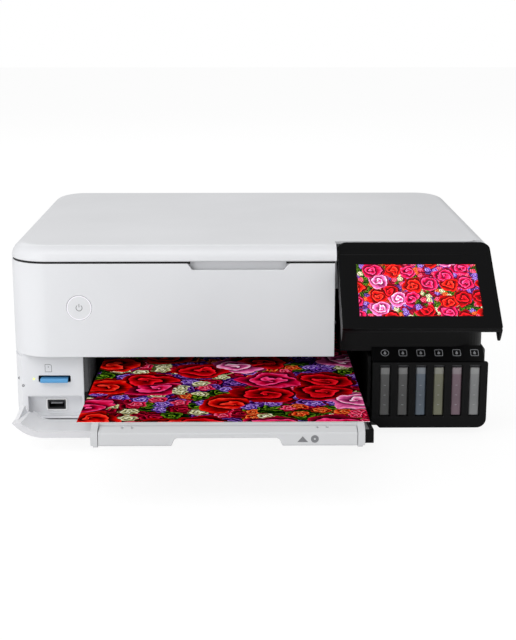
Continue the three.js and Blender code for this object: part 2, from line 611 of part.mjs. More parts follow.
function stadium(halfLength, radius) {
  const shape = new THREE.Shape();
  shape.moveTo(-halfLength, -radius);
  shape.lineTo(halfLength, -radius);
  shape.absarc(halfLength, 0, radius, -Math.PI / 2, Math.PI / 2);
  shape.lineTo(-halfLength, radius);
  shape.absarc(-halfLength, 0, radius, Math.PI / 2, Math.PI * 1.5);
  return shape;
}

function makeMechanism() {
  const rail = outline([
    [RAIL.y, RAIL.z0], [RAIL.y + 10, RAIL.z0], [RAIL.y + 10, RAIL.z0 + 2], [RAIL.y + 2, RAIL.z0 + 2],
    [RAIL.y + 2, RAIL.z1 - 2], [RAIL.y + 10, RAIL.z1 - 2], [RAIL.y + 10, RAIL.z1], [RAIL.y, RAIL.z1],
  ]);
  add("carriage_rail", alongX(rail, -188, 188), steel);

  const loop = alongZ(stadium(BELT.x, BELT.radius + 1.2), BELT.z0, BELT.z1, 8)
    .subtract(alongZ(stadium(BELT.x, BELT.radius + GAP), BELT.z0 - 1, BELT.z1 + 1, 8));
  add("carriage_belt", loop.translate([0, BELT.y, 0]), rubber);
  for (const [name, x] of [["motor_pulley", -BELT.x], ["idler_pulley", BELT.x]]) {
    let pulley = rod("z", BELT.z0 - 0.5, BELT.z1 + 0.5, [x, BELT.y], BELT.radius, 10);
    pulley = pulley.subtract(rod("z", BELT.z0 - 2, BELT.z1 + 2, [x, BELT.y], 1.8, 6));
    add(name, pulley, steel);
  }
  const motor = rod("z", 62, 93, [-BELT.x, BELT.y], 15, 10)
    .add(rod("z", 90, 103, [-BELT.x, BELT.y], 1.5, 6));
  add("carriage_motor", motor, steel);

  let carriage = box(74, 168, 138, 194.5, 80, 113);
  carriage = carriage.subtract(box(78, 164, 142, 190, 92, 114));
  carriage = carriage.add(box(100, 140, 190, 211.5, 112.8, 117));
  carriage = carriage.add(box(100, 140, 207, 211.5, 94, 114));
  add("carriage", carriage, black);

  const platen = openTray(-134, 94, 142, 180, 69, 75, 3, 2);
  add("platen", platen, black);

  const feed = rod("x", -150, 150, [FEED_SHAFT.y, FEED_SHAFT.z], 3, 8)
    .add(rod("x", -120, 84, [FEED_SHAFT.y, FEED_SHAFT.z], FEED_SHAFT.radius, 10));
  add("feed_roller", feed, rubber);
  let output = rod("x", -138, 98, [OUT_SHAFT.y, OUT_SHAFT.z], 2, 8);
  for (let step = 0; step < 6; step += 1) {
    const x = -112 + step * 36;
    output = output.add(rod("x", x, x + 12, [OUT_SHAFT.y, OUT_SHAFT.z], OUT_SHAFT.radius, 8));
  }
  add("output_roller", output, rubber);
  const gear = alongX(gearOutline(FEED_SHAFT.gear, 30), -158.5, -153.5)
    .subtract(rod("x", -170, -140, [0, 0], 2, 6));
  const gearMesh = add("feed_gear", gear, white);
  gearMesh.position.set(0, FEED_SHAFT.y, FEED_SHAFT.z);
  const driveY = FEED_SHAFT.y + FEED_SHAFT.gear + FEED_SHAFT.pinion + 0.5;
  const drive = rod("x", -196, -166, [driveY, FEED_SHAFT.z], 14, 10)
    .add(rod("x", -167, -153.5, [driveY, FEED_SHAFT.z], FEED_SHAFT.pinion, 8));
  add("feed_motor", drive, steel);
}

function gearOutline(radius, teeth) {
  const points = [];
  for (let step = 0; step < teeth * 2; step += 1) {
    const angle = step * Math.PI / teeth;
    const reach = step % 2 ? radius : radius - 2;
    points.push([reach * Math.cos(angle), reach * Math.sin(angle)]);
  }
  return outline(points);
}

// The ink tubes lie side by side as one flat ribbon from the tanks to the carriage.
function makeElectronics() {
  add("power_supply", openTray(-196, -152, 250, 340, 10, 48, 2, 2), steel);
  const board = box(112, 196, 110, 240, 14, 16).add(box(130, 160, 130, 150, 15.5, 22))
    .add(box(126, 138, 200, 216, 15.5, 20));
  add("main_board", board, green);
  const ribbon = outline([
    [112, 64], [113.4, 64], [113.4, 84], [140, 84], [140, 98], [138.6, 98], [138.6, 85.4],
    [112, 85.4],
  ]);
  add("ink_tube_ribbon", alongY(ribbon, 128, 137.7), darkGrey);
}

makeBase();
makeSideCovers();
makeFascia();
makeRear();
makeFeeder();
makeScanner();
makeLid();
makePanel();
makeTankHousing();
makeTanks();
makePorts();
makeFrontCover();
makeTray();
makeCassettes();
makeMechanism();
makeElectronics();

const group = new THREE.Group();
printer.position.y = (FRONT_REACH - REAR_END) / 2;
group.add(printer);
export default group;
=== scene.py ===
"""Looks of the inkjet printer: fine outer shells, printed sheet, inks, marks, materials, light and camera."""
import math

import bmesh
import bpy
from mathutils import Matrix, Vector


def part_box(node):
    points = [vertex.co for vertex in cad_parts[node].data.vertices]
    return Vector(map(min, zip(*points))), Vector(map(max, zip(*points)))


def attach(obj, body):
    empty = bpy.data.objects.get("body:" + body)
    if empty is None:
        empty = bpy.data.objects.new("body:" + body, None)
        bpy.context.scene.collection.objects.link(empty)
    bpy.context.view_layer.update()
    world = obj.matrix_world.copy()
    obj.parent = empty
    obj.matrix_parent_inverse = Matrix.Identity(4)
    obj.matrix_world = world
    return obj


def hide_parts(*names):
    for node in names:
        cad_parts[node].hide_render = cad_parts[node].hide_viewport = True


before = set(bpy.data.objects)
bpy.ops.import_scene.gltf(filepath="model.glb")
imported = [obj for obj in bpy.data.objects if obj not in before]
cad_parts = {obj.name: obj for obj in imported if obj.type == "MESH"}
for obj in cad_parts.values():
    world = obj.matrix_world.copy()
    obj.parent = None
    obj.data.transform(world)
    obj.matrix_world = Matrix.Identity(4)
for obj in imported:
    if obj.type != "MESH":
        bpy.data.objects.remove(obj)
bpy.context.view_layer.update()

MM = 0.001
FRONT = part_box("front_fascia")[0][1]  # the row frame's Y, in metres, at the body's front face


# ---- coordinates: millimetres from the body's front face, turned into the row frame ----
def at(x, y, z):
    return Vector((x * MM, y * MM + FRONT, z * MM))


def span(node):
    """A node's box in this script's millimetres: ((x0, x1), (y0, y1), (z0, z1))."""
    low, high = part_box(node)
    origin = (0, FRONT, 0)
    return [((low[i] - origin[i]) / MM, (high[i] - origin[i]) / MM) for i in range(3)]


# ---- outlines ----
def arc(cx, cy, radius, start, end, steps):
    """Points along a circle from one angle to another, in degrees."""
    turn = [math.radians(start + (end - start) * i / steps) for i in range(steps + 1)]
    return [(cx + radius * math.cos(a), cy + radius * math.sin(a)) for a in turn]


def rounded(x0, x1, y0, y1, radii, steps=14):
    """A rectangle, counter-clockwise, with a radius at front left, front right, back right, back left."""
    corners = [(x0, y0, 1, 1, 180), (x1, y0, -1, 1, 270), (x1, y1, -1, -1, 0), (x0, y1, 1, -1, 90)]
    points = []
    for (x, y, sx, sy, start), radius in zip(corners, radii):
        if radius:
            points += arc(x + sx * radius, y + sy * radius, radius, start, start + 90, steps)
        else:
            points.append((x, y))
    return points


# ---- mesh building ----
PLANES = {
    "x": lambda a, b, depth: (depth, a, b),
    "y": lambda a, b, depth: (a, depth, b),
    "z": lambda a, b, depth: (a, b, depth),
}


def new_object(name, bm):
    bmesh.ops.recalc_face_normals(bm, faces=bm.faces)
    mesh = bpy.data.meshes.new(name)
    bm.to_mesh(mesh)
    bm.free()
    obj = bpy.data.objects.new(name, mesh)
    bpy.context.scene.collection.objects.link(obj)
    return obj


def prism(name, outline, low, high, axis="z"):
    """A closed solid: an outline extruded along one axis."""
    bm = bmesh.new()
    place = PLANES[axis]
    floor = [bm.verts.new(at(*place(a, b, low))) for a, b in outline]
    roof = [bm.verts.new(at(*place(a, b, high))) for a, b in outline]
    bm.faces.new(list(reversed(floor)))
    bm.faces.new(roof)
    count = len(outline)
    for i in range(count):
        j = (i + 1) % count
        bm.faces.new((floor[i], floor[j], roof[j], roof[i]))
    return new_object(name, bm)


def block(name, x0, x1, y0, y1, z0, z1):
    return prism(name, [(x0, y0), (x1, y0), (x1, y1), (x0, y1)], z0, z1)


def cylinder(name, axis, low, high, centre, radius, steps=32):
    return prism(name, arc(*centre, radius, 0, 360, steps)[:-1], low, high, axis)


def apply_modifiers(obj):
    graph = bpy.context.evaluated_depsgraph_get()
    mesh = bpy.data.meshes.new_from_object(obj.evaluated_get(graph))
    obj.modifiers.clear()
    old = obj.data
    obj.data = mesh
    bpy.data.meshes.remove(old)


def combine(obj, operation, tools):
    for tool in tools:
        change = obj.modifiers.new("shape", "BOOLEAN")
        change.operation = operation
        change.solver = "EXACT"
        change.object = tool
        bpy.context.view_layer.update()
        apply_modifiers(obj)
        bpy.data.objects.remove(tool)
    return obj


def carve(obj, *tools):
    return combine(obj, "DIFFERENCE", tools)


def fuse(obj, *tools):
    return combine(obj, "UNION", tools)


HARD_EDGE = 32  # degrees between faces
PIECE_WEIGHT, NODE_WEIGHT = 80, 50  # how far large faces steer the shading


def round_edges(obj, width, segments, angle, weight):
    bevel = obj.modifiers.new("edges", "BEVEL")
    bevel.width = width * MM
    bevel.segments = segments
    bevel.limit_method = "ANGLE"
    bevel.angle_limit = math.radians(angle)
    bevel.miter_outer = "MITER_ARC"
    normals = obj.modifiers.new("normals", "WEIGHTED_NORMAL")
    normals.keep_sharp = True
    normals.weight = weight


def soften(obj, width=0.4, segments=2, angle=HARD_EDGE):
    """Rounds the hard edges by a width in millimetres and smooths the shading."""
    for face in obj.data.polygons:
        face.use_smooth = True
    round_edges(obj, width, segments, angle, PIECE_WEIGHT)
    return obj


def place_piece(obj, body, material, slot, *nodes):
    """Gives a piece its material and body, and hides the CAD nodes that it stands for; the record slot is not
    used.
    """
    obj.data.materials.clear()
    obj.data.materials.append(material)
    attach(obj, body)
    if nodes:
        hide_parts(*nodes)
    return obj


# ---- materials ----
def linear(r, g, b):
    """A screen colour of 0 to 255 as a linear colour."""
    return tuple((c / 255 / 12.92) if c <= 10 else ((c / 255 + 0.055) / 1.055) ** 2.4
                 for c in (r, g, b)) + (1.0,)


class Nodes:
    """Short ways to add nodes to one material."""

    def __init__(self, name):
        self.material = bpy.data.materials.new(name)
        self.material.use_nodes = True
        self.tree = self.material.node_tree
        self.shader = self.tree.nodes["Principled BSDF"]
        self.coords = self.tree.nodes.new("ShaderNodeTexCoord").outputs["Object"]

    def add(self, kind, **settings):
        node = self.tree.nodes.new(kind)
        for key, value in settings.items():
            setattr(node, key, value)
        return node

    def link(self, source, target):
        if hasattr(source, "is_output"):
            self.tree.links.new(source, target)
        else:
            target.default_value = source

    def math(self, operation, a, b=0.0, c=0.0):
        node = self.add("ShaderNodeMath", operation=operation)
        for socket, value in zip(node.inputs, (a, b, c)):
            self.link(value, socket)
        return node.outputs[0]

    def vector(self, operation, a, b=(0, 0, 0)):
        node = self.add("ShaderNodeVectorMath", operation=operation)
        self.link(a, node.inputs[0])
        self.link(b, node.inputs[1])
        return node.outputs["Value" if operation in ("LENGTH", "DOT_PRODUCT", "DISTANCE") else "Vector"]

    def mapping(self, scale, rotation=(0, 0, 0)):
        node = self.add("ShaderNodeMapping")
        self.link(self.coords, node.inputs["Vector"])
        node.inputs["Scale"].default_value = scale
        node.inputs["Rotation"].default_value = rotation
        return node.outputs["Vector"]

    def noise(self, vector, scale, detail=2.0, roughness=0.5):
        node = self.add("ShaderNodeTexNoise")
        self.link(vector, node.inputs["Vector"])
        node.inputs["Scale"].default_value = scale
        node.inputs["Detail"].default_value = detail
        node.inputs["Roughness"].default_value = roughness
        return node.outputs["Fac"]

    def mix(self, factor, a, b):
        node = self.add("ShaderNodeMix", data_type="RGBA")
        self.link(factor, node.inputs["Factor"])
        self.link(a, node.inputs[6])
        self.link(b, node.inputs[7])
        return node.outputs[2]

    def ramp(self, factor, stops):
        node = self.add("ShaderNodeValToRGB")
        elements = node.color_ramp.elements
        while len(elements) < len(stops):
            elements.new(0.5)
        for element, (position, colour) in zip(elements, stops):
            element.position = position
            element.color = colour
        self.link(factor, node.inputs["Fac"])
        return node.outputs["Color"]

    def deepen(self, colour, gamma):
        node = self.add("ShaderNodeGamma")
        self.link(colour, node.inputs["Color"])
        node.inputs["Gamma"].default_value = gamma
        return node.outputs["Color"]

    def bump(self, height, strength, distance):
        node = self.add("ShaderNodeBump")
        node.inputs["Strength"].default_value = strength
        node.inputs["Distance"].default_value = distance * MM
        self.link(height, node.inputs["Height"])
        self.tree.links.new(node.outputs["Normal"], self.shader.inputs["Normal"])

    def set(self, **values):
        names = {"color": "Base Color", "coat": "Coat Weight", "coat_roughness": "Coat Roughness",
                 "specular": "Specular IOR Level", "glow": "Emission Strength",
                 "glow_color": "Emission Color", "transmission": "Transmission Weight"}
        for key, value in values.items():
            self.link(value, self.shader.inputs[names.get(key, key.replace("_", " ").title())])


def moulded(name, colour, roughness=0.45, grain=1500, grain_depth=0.02, drift=0.03, specular=0.5):
    """Moulded plastic: a fine spark-eroded grain, a faint drift of tone and uneven gloss."""
    n = Nodes(name)
    drift_map = n.noise(n.coords, 9.0, 3.0)
    low = tuple(c * (1 - drift) for c in colour[:3]) + (1.0,)
    high = tuple(min(1.0, c * (1 + drift)) for c in colour[:3]) + (1.0,)
    n.set(color=n.ramp(drift_map, [(0.3, low), (0.7, high)]), specular=specular)
    fine = n.noise(n.coords, grain, 2.0)
    gloss = n.add("ShaderNodeMapRange")
    n.link(fine, gloss.inputs["Value"])
    gloss.inputs["To Min"].default_value = roughness - 0.05
    gloss.inputs["To Max"].default_value = roughness + 0.06
    n.set(roughness=gloss.outputs["Result"])
    n.bump(fine, 0.25, grain_depth)
    return n.material


def metal(name, colour):
    """Rolled or turned steel, with fine lines along it."""
    n = Nodes(name)
    lines = n.noise(n.mapping((40, 900, 900)), 1.0, 4.0, 0.6)
    tone = n.ramp(lines, [(0.3, tuple(c * 0.85 for c in colour[:3]) + (1.0,)), (0.7, colour)])
    n.set(color=tone, metallic=1.0, roughness=0.32)
    n.bump(lines, 0.15, 0.02)
    return n.material


def glowing(name, colour, strength):
    n = Nodes(name)
    speckle = n.noise(n.coords, 700, 1.0)
    n.set(color=colour, roughness=0.3, glow=strength,
          glow_color=n.ramp(speckle, [(0.2, colour), (0.8, tuple(min(1, c * 1.1) for c in colour))]))
    return n.material


def flowers(n, plane, flower_size):
    """A bunch of invented flowers: overlapping roses with curled petals over buds and leaves."""
    plane = n.vector("MULTIPLY", plane, (1, 1, 0))

    def heads(offset, size, petals, curl):
        """Cells that hold one flower each: petal tone, distance out, the cell's chance, the lobes."""
        shifted = n.vector("ADD", plane, (offset, offset * 0.37, 0))
        grid = n.vector("SCALE", shifted)
        grid.node.inputs["Scale"].default_value = 1 / (size * MM)
        wobble = n.add("ShaderNodeTexNoise", noise_dimensions="2D")
        n.link(grid, wobble.inputs["Vector"])
        wobble.inputs["Scale"].default_value = 2.3
        bent = n.vector("ADD", grid, n.vector("MULTIPLY", wobble.outputs["Color"], (0.35, 0.35, 0)))
        cells = n.add("ShaderNodeTexVoronoi", voronoi_dimensions="2D")
        cells.inputs["Scale"].default_value = 1.0
        cells.inputs["Randomness"].default_value = 0.8
        n.link(bent, cells.inputs["Vector"])
        away = n.vector("SUBTRACT", bent, cells.outputs["Position"])
        split = n.add("ShaderNodeSeparateXYZ")
        n.link(away, split.inputs[0])
        angle = n.math("ARCTAN2", split.outputs["Y"], split.outputs["X"])
        reach = n.vector("LENGTH", away)
        chance = n.add("ShaderNodeSeparateColor")
        n.link(cells.outputs["Color"], chance.inputs[0])
        turn = n.math("MULTIPLY_ADD", chance.outputs[1], 6.0, angle)
        lobes = n.math("SINE", n.math("MULTIPLY_ADD", reach, curl, n.math("MULTIPLY", turn, petals)))
        winding = n.math("DIVIDE", angle, math.tau)
        spiral = n.math("ADD", winding, n.math("MULTIPLY_ADD", lobes, 0.16, n.math("MULTIPLY", reach, 4.2)))
        petal = n.math("POWER", n.math("FRACT", spiral), 1.6)
        veins = n.add("ShaderNodeTexNoise", noise_dimensions="2D")
        n.link(bent, veins.inputs["Vector"])
        veins.inputs["Scale"].default_value = 9.0
        petal = n.math("MULTIPLY", petal, n.math("MULTIPLY_ADD", veins.outputs["Fac"], 1.5, 0.35))
        shade = n.math("SUBTRACT", 1.12, n.math("MULTIPLY", reach, 0.8))
        return n.math("MULTIPLY", petal, shade), reach, chance.outputs[0], lobes

    def petals_coloured(tone, chance, families):
        """Dark throats to pale rims, in the colour family that the cell's chance picks."""
        colour = None
        for limit, dark, middle, pale in families:
            shades = n.ramp(tone, [(0.0, linear(*dark)), (0.45, linear(*middle)), (1.0, linear(*pale))])
            if colour is None:
                colour = shades
            else:
                colour = n.mix(n.math("GREATER_THAN", chance, limit), colour, shades)
        return colour

    leaves, _, leaf_chance, _ = heads(0.31, flower_size * 0.42, 2, 6)
    base = petals_coloured(leaves, leaf_chance, [
        (0.0, (3, 8, 3), (26, 70, 14), (150, 190, 60)),
        (0.4, (20, 3, 34), (84, 34, 130), (190, 140, 226)),
        (0.65, (30, 0, 8), (140, 4, 40), (232, 50, 100)),
    ])
    buds, bud_reach, bud_chance, bud_lobes = heads(0.77, flower_size * 0.36, 5, 4)
    bud_colour = petals_coloured(buds, bud_chance, [
        (0.0, (60, 56, 30), (206, 204, 150), (255, 255, 240)),
        (0.35, (90, 0, 30), (232, 30, 90), (255, 160, 190)),
        (0.6, (44, 14, 90), (126, 74, 190), (226, 200, 250)),
        (0.85, (80, 10, 4), (226, 70, 20), (255, 176, 110)),
    ])
    bud_here = n.math("LESS_THAN", n.math("MULTIPLY_ADD", bud_lobes, 0.06, bud_reach), 0.46)
    bud_here = n.math("MULTIPLY", bud_here, n.math("GREATER_THAN", bud_chance, 0.2))
    base = n.mix(bud_here, base, bud_colour)
    roses, rose_reach, rose_chance, rose_lobes = heads(0.13, flower_size, 3, 9)
    rose_colour = petals_coloured(roses, rose_chance, [
        (0.0, (40, 0, 4), (190, 2, 24), (255, 50, 70)),
        (0.36, (60, 0, 26), (214, 6, 84), (255, 110, 170)),
        (0.58, (50, 0, 2), (216, 16, 14), (255, 90, 70)),
        (0.84, (110, 20, 70), (238, 120, 180), (255, 226, 240)),
    ])
    rose_here = n.math("LESS_THAN", n.math("MULTIPLY_ADD", rose_lobes, 0.06, rose_reach), 0.56)
    rose_here = n.math("MULTIPLY", rose_here, n.math("GREATER_THAN", rose_chance, 0.12))
    return n.mix(rose_here, base, rose_colour)


SHEET_FLOWER, SCREEN_FLOWER = 46, 15  # size of the largest flowers


def make_materials():
    made = {
        "white": moulded("white_plastic", linear(226, 227, 230), 0.38),
        # painted light: a lighter copy of the white plastic, for the front cover's inside, which lies in the
        # shade of the body above
        "bright": moulded("white_plastic_lightened_against_shade", linear(248, 248, 250), 0.4),
        # painted shade: a darker copy of the white plastic for the output tray and its stopper, which are the
        # same white as the body
        "tray": moulded("tray_white_darkened_for_shade", linear(203, 204, 206), 0.42),
        "black": moulded("black_plastic", linear(16, 16, 17), 0.42, grain_depth=0.03, specular=0.12),
        "dark": moulded("dark_grey_plastic", linear(52, 52, 54), 0.5, grain_depth=0.04),
        "inside": moulded("inner_black_plastic", linear(15, 15, 16), 0.6, grain_depth=0.04, specular=0.15),
        "gloss": moulded("gloss_black_plastic", linear(9, 9, 10), 0.2, grain=300, grain_depth=0.002,
                         specular=0.1),
        "bay": moulded("bay_side_plastic", linear(160, 161, 163), 0.5, grain_depth=0.04),
        "flange": moulded("bay_flange_plastic", linear(56, 56, 58), 0.5, grain_depth=0.04),
        # painted shade: a darker copy of the white plastic for the front cover's forward-looking rim, where
        # the light falls strongest
        "rim_painted_shade": moulded("cover_rim_white_painted_shade", linear(214, 214, 217), 0.42, grain_depth=0.04),
        "cap": moulded("cap_rubber", linear(26, 26, 27), 0.62, grain_depth=0.04),
        "rubber": moulded("rubber", linear(24, 24, 24), 0.85, grain=900, grain_depth=0.06),
        "gear": moulded("acetal", linear(214, 210, 196), 0.4),
        "circuit": moulded("circuit_lacquer", linear(22, 74, 42), 0.35, grain=420, grain_depth=0.05,
                           drift=0.2),
        "foam": moulded("foam_film", linear(236, 236, 234), 0.7, grain=600, grain_depth=0.06),
        "navy": moulded("reader_slot", linear(30, 40, 66), 0.5),
        "card": moulded("blue_card", linear(86, 160, 214), 0.45),
        "mark": moulded("grey_ink_mark", linear(120, 121, 124), 0.6),
        "light_mark": moulded("light_ink_mark", linear(176, 178, 182), 0.6),
        "ring": moulded("bright_ring", linear(252, 252, 252), 0.3),
        "halo": glowing("lit_ring", linear(250, 247, 255), 0.16),
        "steel": metal("plated_steel", linear(176, 178, 181)),
        "lamp": glowing("access_light", linear(214, 232, 96), 0.9),
        "tube": moulded("smoked_tubing", linear(60, 60, 64), 0.25),
    }

    glass = Nodes("float_glass")
    streak = glass.noise(glass.mapping((3, 60, 3)), 1.0, 2.0)
    glass.set(color=glass.ramp(streak, [(0.3, linear(214, 228, 224)), (0.7, linear(226, 236, 232))]),
              roughness=0.03, transmission=0.85)
    made["glass"] = glass.material

    sheet = Nodes("glossy_print")
    picture = flowers(sheet, sheet.coords, SHEET_FLOWER)
    tooth = sheet.noise(sheet.coords, 2600, 2.0)
    sheet.set(color=sheet.deepen(picture, 1.35), roughness=0.5, specular=0.0)
    sheet.bump(tooth, 0.1, 0.01)
    made["print"] = sheet.material

    paper = Nodes("paper_back")
    fibre = paper.noise(paper.mapping((900, 1400, 900)), 1.0, 4.0, 0.7)
    paper.set(color=paper.ramp(fibre, [(0.3, linear(238, 238, 236)), (0.7, linear(248, 248, 247))]),
              roughness=0.75)
    paper.bump(fibre, 0.2, 0.02)
    made["paper"] = paper.material
    return made


FINISH = make_materials()


# ---- driving sizes, in millimetres, read from the frame where it holds them ----
LID = span("document_cover")
PANEL_PIN = span("panel_hinge_pin")
_, PIN_Y, PIN_Z = Vector((0, sum(PANEL_PIN[1]) / 2, sum(PANEL_PIN[2]) / 2))  # the pin's axis
CORNER = 33  # radius of the body's front corners, seen from above
BACK_CORNER = 30
BODY_LEFT = -201.5
BUTTON = (-142.5, 110.7)  # x and z of the power button's centre
PANEL_TILT = 54  # degrees that the panel leans back from upright
COVER_HINGE = (7, 13.5)  # y and z
COVER_OPEN = 82.5  # degrees that the front cover is turned down


def tilt(obj, y, z, degrees):
    """Turns a piece about an X axis through a point given in millimetres."""
    pivot = at(0, y, z)
    turn = Matrix.Translation(pivot) @ Matrix.Rotation(math.radians(degrees), 4, "X")
    obj.data.transform(turn @ Matrix.Translation(-pivot))
    return obj


def loft(name, rings):
    """A closed solid through rings of the same number of points, each (outline, height)."""
    bm = bmesh.new()
    loops = [[bm.verts.new(at(x, y, z)) for x, y in outline] for outline, z in rings]
    for low, high in zip(loops, loops[1:]):
        for i in range(len(low)):
            j = (i + 1) % len(low)
            bm.faces.new((low[i], low[j], high[j], high[i]))
    bm.faces.new(list(reversed(loops[0])))
    bm.faces.new(loops[-1])
    return new_object(name, bm)


# ---- lid ----
LID_FILLET = 11.5  # radius along the front and sides of the top
REAR_FILLET = 0.3  # the share of it that the back edge gets
FILLET_STEPS = 12
LID_NOTCH = (70.5, 30)  # x and y of the inner corner of the notch for the panel
LIP_FRONT = 24.8


def lid_outline(inset):
    """The lid's outline drawn in by an inset all round, apart from the notch for the panel."""
    (x0, x1), (y0, y1), _ = LID
    notch_x, notch_y = LID_NOTCH
    front, back = CORNER - inset, BACK_CORNER - inset
    back_y = y1 - BACK_CORNER
    shape = arc(x0 + CORNER, y0 + CORNER, front, 180, 270, 18)
    shape += [(notch_x, y0 + inset), (notch_x, notch_y)]
    start = -math.degrees(math.asin((CORNER - notch_y) / front))
    shape += arc(x1 - CORNER, y0 + CORNER, front, start, 0, 3)
    rear = arc(x1 - BACK_CORNER, back_y, back, 0, 90, 16) + arc(x0 + BACK_CORNER, back_y, back, 90, 180, 16)
    stretch = (BACK_CORNER - inset * REAR_FILLET) / back
    return shape + [(x, back_y + (y - back_y) * stretch) for x, y in rear]


def make_lid():
    z0, z1 = LID[2]
    rings = [(lid_outline(0.5), z0), (lid_outline(0), z0 + 0.6)]
    for step in range(FILLET_STEPS + 1):
        angle = math.radians(90 * step / FILLET_STEPS)
        rings.append((lid_outline(LID_FILLET * (1 - math.cos(angle))),
                      z1 - LID_FILLET * (1 - math.sin(angle))))
    lid = loft("lid_shell", rings)
    carve(lid, block("pocket", -186, 186, 36, 292, z0 - 1, z0 + 6))
    lip = [(LID_NOTCH[0], LIP_FRONT), (184, LIP_FRONT), (186.5, 26), (188, 31), (LID_NOTCH[0], 31)]
    fuse(lid, prism("notch_lip", lip, z1 - 2.4, z1 - 0.02))
    soften(lid, 0.5, 2, 50)
    place_piece(lid, "lid", FINISH["white"], "white_shell", "document_cover")


# ---- front fascia with its power button ----
FASCIA_WALL = 2.6
BUTTON_HOLE = 10.5  # radius
HANDLE_TOP, HANDLE_FOOT, HANDLE_DEPTH = (-52.8, 32.4), (-48.5, 27.1), 5.3
LATCH_HOLES = ((-197.3, 16.8, 45.6), (-193.6, 12.3, 40.2))


def skin_outline(inset, thickness, x_end, y_end, steps=20):
    """The wall that wraps the body's front left corner, from y_end on the left side to x_end."""
    outer, inner = CORNER - inset, CORNER - inset - thickness
    cx, cy = BODY_LEFT + CORNER, CORNER
    points = [(BODY_LEFT + inset, y_end)] + arc(cx, cy, outer, 180, 270, steps) + [(x_end, inset)]
    points += [(x_end, inset + thickness)] + arc(cx, cy, inner, 270, 180, steps)
    return points + [(BODY_LEFT + inset + thickness, y_end)]


def make_fascia():
    (_, x1), (_, y1), (z0, z1) = span("front_fascia")
    wall = prism("fascia", skin_outline(0, FASCIA_WALL, x1, y1), z0, z1)
    fuse(wall, block("return", x1 - FASCIA_WALL, x1, 0.5, 24, z0, z1 - 1),
         block("lip", -150, x1 - 1, 1, 6, z0, z0 + 2))
    handle = [(HANDLE_FOOT[0], z1 - HANDLE_DEPTH), (HANDLE_FOOT[1], z1 - HANDLE_DEPTH),
              (HANDLE_TOP[1], z1 + 1), (HANDLE_TOP[0], z1 + 1)]
    carve(wall, prism("handle", handle, -1, 10, "y"),
          cylinder("hole", "y", -1, 10, BUTTON, BUTTON_HOLE, 48))
    soften(wall, 0.7, 3)
    place_piece(wall, "chassis", FINISH["white"], "white_shell", "front_fascia")

    sill = prism("fascia_sill", skin_outline(0.9, 3.0, -160, 56), 63, z0 + 0.6)
    carve(sill, block("front", -205, -150, -1, 12.8, 60, 70))
    soften(sill, 0.4, 2)
    place_piece(sill, "chassis", FINISH["white"], "white_shell")

    # a dark strip just inside the seam under the lid: painted shadow along the joint, in the rubber finish
    seam_shadow_strip = prism("seam_painted_shadow", skin_outline(1.0, 1.5, x1 - 0.2, y1), z1 - 0.2, z1 + 1.4)
    carve(seam_shadow_strip, block("grip", -50, 29, -1, 4, z1 - 2, z1 + 3))
    soften(seam_shadow_strip, 0.2, 2)
    place_piece(seam_shadow_strip, "chassis", FINISH["rubber"], "rubber")

    for x, y, z in LATCH_HOLES:
        hole = ring_mark("latch_hole", x, z, 0.85, 0.5, y, y + 2)
        place_piece(hole, "chassis", FINISH["mark"], "white_shell")


def lathe_y(name, profile, centre, steps=64):
    """Turns a profile of (radius, y) points about an axis along Y."""
    bm = bmesh.new()
    rings = []
    for radius, y in profile:
        turns = [math.tau * i / steps for i in range(steps)]
        rings.append([bm.verts.new(at(centre[0] + radius * math.cos(a), y, centre[1] + radius * math.sin(a)))
                      for a in turns])
    for a, b in zip(rings, rings[1:]):
        for i in range(steps):
            j = (i + 1) % steps
            bm.faces.new((a[i], a[j], b[j], b[i]))
    bm.faces.new(rings[0])
    bm.faces.new(list(reversed(rings[-1])))
    return new_object(name, bm)


def ring_mark(name, x, z, radius, width, low, high, start=0, end=360, steps=48):
    """A flat ring, or part of one, standing on a face that looks along -Y."""
    outline = arc(x, z, radius + width / 2, start, end, steps)
    inner = arc(x, z, radius - width / 2, end, start, steps)
    if end - start < 360:
        return prism(name, outline + inner, low, high, "y")
    disc = prism(name, outline[:-1], low, high, "y")
    return carve(disc, prism("bore", inner[:-1], low - 1, high + 1, "y"))


RING_RADIUS, RING_WIDTH = 9.9, 0.65
ICON_RADIUS, ICON_WIDTH = 2.5, 0.55


def make_button():
    x, z = BUTTON
    profile = [(3, 7), (3, 2.2), (9.3, 2.2), (10.0, 1.8), (10.0, 0.5), (9.8, 0.15), (9.4, 0.02)]
    button = lathe_y("power_button_cap", profile, BUTTON)
    soften(button, 0.1, 1, 50)
    place_piece(button, "power_button", FINISH["white"], "white_shell", "power_button")
    ring = ring_mark("power_ring", x, z, RING_RADIUS, RING_WIDTH, 0.0, 0.6)
    place_piece(ring, "power_button", FINISH["halo"], "white_shell")
    icon = ring_mark("power_arc", x, z, ICON_RADIUS, ICON_WIDTH, 0.0, 0.3, 125, 415, 28)
    place_piece(icon, "power_button", FINISH["mark"], "white_shell")
    bar = block("power_bar", x - 0.28, x + 0.28, 0.0, 0.3, z + 0.6, z + 3.4)
    place_piece(bar, "power_button", FINISH["mark"], "white_shell")


# ---- front cover: made closed, then turned down about its hinge ----
COVER_LOW, COVER_HIGH = 5.5, 67
COVER_WALL, COVER_RIGHT = 5.2, 69.6
EAR_OUTER, EAR_INNER = -194.2, -191.2  # the left end, which stands up when the cover is down
EAR_BACK = 12.4
EAR = [(6, 17), (17.4, 17), (17.8, 20), (15.8, 34), (13.0, 48), (12.0, 60),
       (11.6, COVER_HIGH), (6, COVER_HIGH)]
